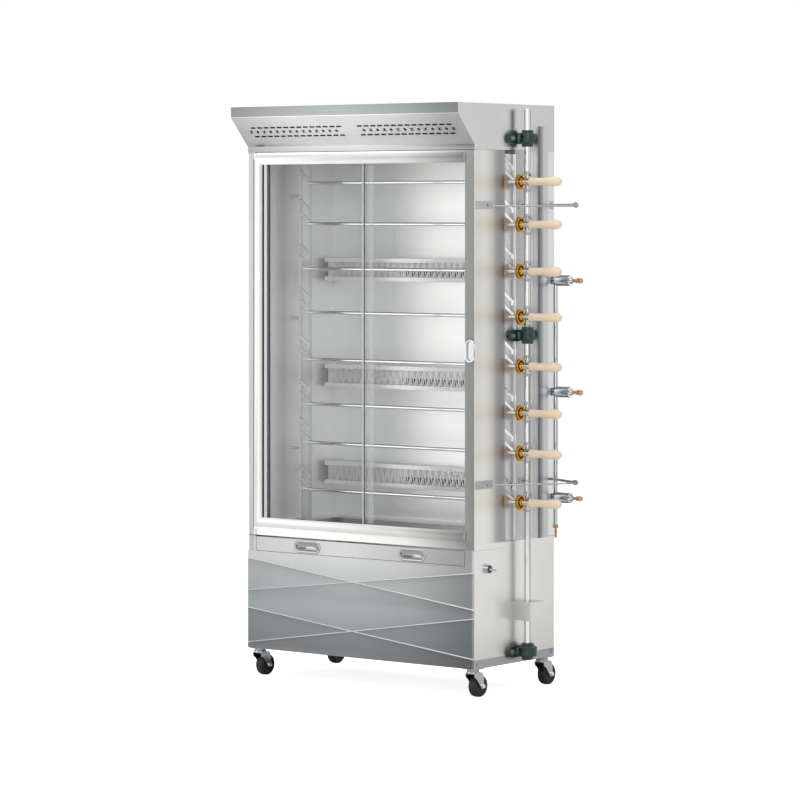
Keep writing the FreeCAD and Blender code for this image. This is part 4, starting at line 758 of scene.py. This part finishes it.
def bearingShells(level, drum):
    # the drum is a turned section: bore, bearing ring, rounded shoulder and a shallow band round its middle
    half, hub, top, bend = bearing["drumHalf"], bearing["hub"], bearing["hubHalf"], bearing["shoulder"]
    turn = np.linspace(0, np.pi / 2, 6)
    upper = [(top, bearing["bore"]), (top, 15.2), (top - 1.6, 15.8), (top - 1.6, 17.0), (top, 17.6),
             (top, hub - 1.4), (top - 1.4, hub), (half + 2.2, hub), (half + 0.6, hub + 0.9), (half, hub + 2.4)]
    shoulder = np.stack([half - bend + bend * np.cos(turn), drum - bend + bend * np.sin(turn)], -1).tolist()
    side = upper + shoulder + [(5.0, drum), (4.2, drum - 0.5)]
    section = side + [(-along, radius) for along, radius in side[::-1]]
    y = bearing["shaftY"]
    # the foot is a slab with half-round ends
    outline = ovalPath((y, level), bearing["footLength"], bearing["footWidth"], 14)
    return [lathe(section, (bearing["shaftX"], y, level), (0, 0, 1), 64, closed=True),
            slab(outline, 0.0, bearing["footThick"], 0)]


def webShell(level, drum):
    # the neck from foot to drum: a superellipse of the power square that swells towards the foot
    steps, sides, square = 9, 40, 4.5
    rows = np.linspace(0, 1, steps)
    turn = np.linspace(0, 2 * np.pi, sides, endpoint=False)
    swell = (1 - rows) ** 2.2
    reach, tall = drum - 6.0 + 9.0 * swell, bearing["drumHalf"] - 1.5 + 2.5 * swell
    shape = (np.abs(np.cos(turn)) ** square + np.abs(np.sin(turn)) ** square) ** (-1 / square)
    x = bearing["footThick"] - 1.0 + rows * (bearing["shaftX"] - bearing["footThick"] - 6.0)
    points = np.stack([np.repeat(x[:, None], sides, 1),
                       bearing["shaftY"] + reach[:, None] * (shape * np.cos(turn))[None],
                       level + tall[:, None] * (shape * np.sin(turn))[None]], -1)
    ends = [list(range(sides))[::-1], list(range((steps - 1) * sides, steps * sides))]
    return points, gridFaces(steps, sides, False, True).tolist() + ends


# rows of a bolt head as (share of its height, share of its radius)
headRows = np.array([(0.0, 1.0), (0.72, 1.0), (0.86, 0.985), (1.0, 0.90), (1.0, 0.45), (0.88, 0.0)])


def hexHead(centre, axis, across, height, washer):
    # on a washer, a hexagon whose corners are turned off: radius = min(hexagon, 0.56 * across)
    sides = 48
    turn = np.linspace(0, 2 * np.pi, sides, endpoint=False)
    hexagon = across / 2 / np.cos((turn + np.pi / 6) % (np.pi / 3) - np.pi / 6)
    along, u, v = axesAlong(axis)
    lift, rim = washer * 0.1, washer / 2
    spread = headRows[:, 1:] * np.minimum(hexagon[None], across * 0.56)
    points = (np.asarray(centre, float) + (headRows[:, 0] * height + lift)[:, None, None] * along
              + (spread * np.cos(turn))[..., None] * u + (spread * np.sin(turn))[..., None] * v)
    faces = gridFaces(len(headRows), sides, False, True).tolist() + [list(range(sides))[::-1]]
    edge = [(0, 0.0), (0, rim), (lift * 0.6, rim), (lift, rim - 0.4), (lift, 0.0)]
    return [(points, faces), lathe(edge, centre, axis, 40)]


for number, (level, drum) in enumerate(zip(bearing["levels"], bearing["drums"]), 1):
    addPiece("bearingHousing%d" % number, bearingShells(level, drum) + [webShell(level, drum)], "bearingGreen",
             "cabinet", ["pillow_blocks"], sharp=40, bevel=0.9)
    bolts = []
    for sign in (-1, 1):
        seat = (bearing["footThick"], bearing["shaftY"] + sign * bearing["boltOffset"], level)
        bolts += hexHead(seat, (1, 0, 0), bearing["boltAcross"], bearing["boltHigh"], bearing["washer"])
    addPiece("bearingBolts%d" % number, bolts, "boltSteel", "cabinet", sharp=30)
print("bearings cast")


# turned rings on the worms' collars
rings = {"rows": ((28.3, 30.6, 14.6), (31.1, 33.2, 12.8), (33.7, 35.8, 11.4)), "bore": 10.05, "neck": 10.9,
         "round": 0.6}


def ringShell(level, sign):
    # three stepped rings, each a flat band of (from, to, radius) with bevelled corners, in one turned section
    neck, edge = rings["neck"], rings["round"]
    section = [(rings["rows"][0][0], rings["bore"])]
    for low, high, radius in rings["rows"]:
        section += [(low, neck), (low, radius - edge), (low + edge, radius), (high - edge, radius),
                    (high, radius - edge), (high, neck)]
    section.append((rings["rows"][-1][1], rings["bore"]))
    return lathe([(sign * along, radius) for along, radius in section],
                 (bearing["shaftX"], bearing["shaftY"], level), (0, 0, 1), 40, closed=True)


wormRings = [ringShell(level, sign) for level in handle["levels"] for sign in (-1, 1)]
addPiece("wormRings", wormRings, "wormSteel", "shaft", sharp=35)
print("worm rings turned")


# gas valve knobs
knob = {"levels": (1308.0, 921.995, 556.038), "y": 433.0, "lobes": 8, "lobeDepth": 0.10,
        "plain": ((74.0, 0.0), (74.0, 4.5), (104.5, 4.5), (105.0, 6.6), (106.6, 7.2), (108.2, 6.6), (108.8, 4.9),
                  (110.5, 4.6), (113.0, 5.4), (117.5, 7.6), (118.6, 8.6), (120.4, 9.0), (122.0, 8.4), (122.6, 6.0),
                  (125.0, 5.4), (126.2, 6.4)),
        "lobed": ((127.0, 8.6), (128.4, 9.5), (131.0, 10.0), (136.0, 10.0), (138.6, 9.5), (140.0, 8.4)),
        "tip": ((140.6, 6.2), (140.9, 3.7), (141.8, 3.5), (143.2, 2.8), (144.0, 0.0))}


def knobShell(level):
    # radius = r * (1 - depth * (1 - cos(lobes * t)) / 2) on the lobed rows, plain r on the others
    columns = 96
    section = np.array(knob["plain"] + knob["lobed"] + knob["tip"])
    turn = np.linspace(0, 2 * np.pi, columns, endpoint=False)
    lobed = np.zeros((len(section), 1))
    lobed[len(knob["plain"]):-len(knob["tip"])] = 1.0
    radius = section[:, 1:] * (1 - knob["lobeDepth"] * lobed * (1 - np.cos(knob["lobes"] * turn)[None]) / 2)
    points = np.stack([np.repeat(section[:, :1], columns, 1),
                       knob["y"] + radius * np.cos(turn), level + radius * np.sin(turn)], -1)
    return points, gridFaces(len(section), columns, False, True)


for number, level in enumerate(knob["levels"], 1):
    addPiece("valveKnob%d" % number, [knobShell(level)], "valveBrass", "valve_%d" % number,
             ["valve_knob_%d" % number], sharp=32)
print("knobs turned")


# oval pulls
pulls = {"doorCentre": (-16.0, 1075.0), "doorSize": (40.0, 80.0), "doorRim": 8.0, "doorProud": 9.0,
         "doorFloor": (25.0, 65.0), "floorFront": -1.5,
         "drawerX": (-728.0, -266.0), "drawerZ": 372.25, "drawerSize": (120.0, 46.0), "drawerRim": 9.0,
         "drawerProud": 3.0, "cupTuck": 1.0, "cupFront": -0.8, "cupDepth": 12.2}


def rimShell(centre, size, rim, proud):
    # a rounded rim carried round an oval: section = superellipse arch of the rim's width and height
    count, steps, square = 13, 20, 2.4
    arch = np.linspace(0, np.pi, count)
    across = -np.sign(np.cos(arch)) * np.abs(np.cos(arch)) ** (2 / square)
    height = np.abs(np.sin(arch)) ** (2 / square)
    outer = ovalPath(centre, size[0], size[1], steps)
    inner = ovalPath(centre, size[0] - 2 * rim, size[1] - 2 * rim, steps)
    inward = (across[:, None, None] + 1) / 2
    flat = outer[None] * (1 - inward) + inner[None] * inward
    points = np.stack([flat[..., 0], -np.repeat((height * proud)[:, None], 2 * steps, 1), flat[..., 1]], -1)
    return points, gridFaces(count, 2 * steps, True, True)


# rows of a pressed cup as (share of its size, share of its depth): walls that lean in and roll into a flat floor
cupRows = ((1.0, 0.0), (0.97, 0.15), (0.94, 0.7), (0.86, 0.95), (0.82, 1.0))


def cupShell(centre, size, front, depth):
    # each row is the oval of the cup's size less its share of the short side
    steps = 20
    points = []
    for scale, sunk in cupRows:
        shrink = (1 - scale) * min(size)
        oval = ovalPath(centre, size[0] - shrink, size[1] - shrink, steps)
        points.append(np.stack([oval[:, 0], np.full(2 * steps, front + depth * sunk), oval[:, 1]], -1))
    faces = gridFaces(len(cupRows), 2 * steps, False, True).tolist()
    faces.append(list(range((len(cupRows) - 1) * 2 * steps, len(cupRows) * 2 * steps)))
    return np.array(points), faces


doorRim = rimShell(pulls["doorCentre"], pulls["doorSize"], pulls["doorRim"], pulls["doorProud"])
doorFloor = slab(ovalPath(pulls["doorCentre"], *pulls["doorFloor"], 14), pulls["floorFront"], 0.0, 1)
addPiece("doorPullRing", [doorRim, doorFloor], "cupSteel", "door", ["door_pull"], sharp=50)
cupSize = [side - 2 * pulls["drawerRim"] + pulls["cupTuck"] for side in pulls["drawerSize"]]
drawerRims = []
for x in pulls["drawerX"]:
    place = (x, pulls["drawerZ"])
    drawerRims.append(rimShell(place, pulls["drawerSize"], pulls["drawerRim"], pulls["drawerProud"]))
    drawerRims.append(cupShell(place, cupSize, pulls["cupFront"], pulls["cupDepth"]))
addPiece("drawerPullCups", drawerRims, "cupSteel", "drawer", ["drawer_pulls"], sharp=50)
print("pulls pressed")


# casters
caster = {"places": {"front_right": (-30.0, 32.0), "rear_right": (-30.0, 435.0), "front_left": (-970.0, 32.0),
                     "rear_left": (-970.0, 435.0)}, "trail": 28.0, "axleZ": -62.5, "radius": 37.5, "half": 16.0,
          "shoulder": 7.0, "legX": 18.0, "leg": 3.0, "headFoot": -16.0, "axle": 4.05, "eye": 9.5,
          "legFront": -17.0, "legRear": 27.0, "pinRadius": 3.95, "boltAcross": 13.0, "boltHigh": 5.0, "washer": 17.0,
          "head": ((-3.3, 5.1), (-3.3, 17.5), (-4.3, 20.3), (-6.2, 21.0), (-7.6, 20.6), (-8.4, 19.4), (-9.2, 20.2),
                   (-12.5, 21.5), (-16.0, 21.5), (-18.6, 20.0), (-18.6, 5.1))}


def wheelSection():
    # tyre section: tread nearly flat, rounded shoulders, flat sidewall, stepped down to the hub
    radius, half, bend = caster["radius"], caster["half"], caster["shoulder"]
    turn = np.linspace(0, np.pi / 2, 7)
    tread = np.linspace(-half + bend, half - bend, 7)
    crown = np.stack([tread, radius - 0.5 * (tread / (half - bend)) ** 2], -1)
    right = np.stack([half - bend + bend * np.sin(turn), radius - bend - 0.5 + bend * np.cos(turn)], -1)[1:]
    wall = [(half, 25.5), (half - 0.7, 24.7), (half - 2.4, 24.2), (half - 2.8, 23.4), (half - 3.2, 14.0),
            (half - 2.0, 12.0), (half - 0.2, 11.0), (half, 10.2), (half, caster["axle"])]
    side = right.tolist() + wall
    return [(-x, r) for x, r in side[::-1]] + crown.tolist() + side


def forkLeg(x, y, sign):
    # pressed leg: a plate that narrows towards the axle, its outline given in the side view
    axleY, foot, eye = y + caster["trail"], caster["headFoot"], caster["eye"]
    turn = np.linspace(math.radians(-20), math.radians(-170), 10)
    tip = np.stack([axleY + eye * np.cos(turn), caster["axleZ"] + eye * np.sin(turn)], -1).tolist()
    outline = [(y + caster["legFront"], foot), (y + caster["legRear"], foot), (y + 33, foot - 8)]
    outline += tip + [(y - 4, foot - 22), (y - 15, foot - 15)]
    sides = sorted((x + sign * caster["legX"], x + sign * (caster["legX"] + caster["leg"])))
    return slab(outline, *sides, 0)


for place, (x, y) in caster["places"].items():
    axle = (x, y + caster["trail"], caster["axleZ"])
    addPiece("wheelTyre." + place, [lathe(wheelSection(), axle, (1, 0, 0), 64, closed=True)], "tyreRubber",
             "wheel_" + place, ["caster_wheel_" + place], sharp=42)
    span, foot = caster["legX"] + caster["leg"], caster["headFoot"]
    front, rear = y + caster["legFront"], y + caster["legRear"]
    bridge = [(front, foot - caster["leg"]), (rear, foot - caster["leg"]), (rear, foot), (front, foot)]
    shells = [lathe(caster["head"], (x, y, 0), (0, 0, 1), 56, closed=True), slab(bridge, x - span, x + span, 0),
              forkLeg(x, y, 1), forkLeg(x, y, -1)]
    addPiece("casterYoke." + place, shells, "casterSteel", "fork_" + place, ["caster_fork_" + place],
             sharp=35, bevel=0.8)
    pin = caster["pinRadius"]
    bolts = [lathe([(-span, 0), (-span, pin), (span, pin), (span, 0)], axle, (1, 0, 0), 32)]
    for sign in (-1, 1):
        bolts += hexHead((x + sign * span, *axle[1:]), (sign, 0, 0), caster["boltAcross"], caster["boltHigh"],
                         caster["washer"])
    addPiece("casterBolt." + place, bolts, "brightSteel", "fork_" + place, sharp=30)
print("casters built")
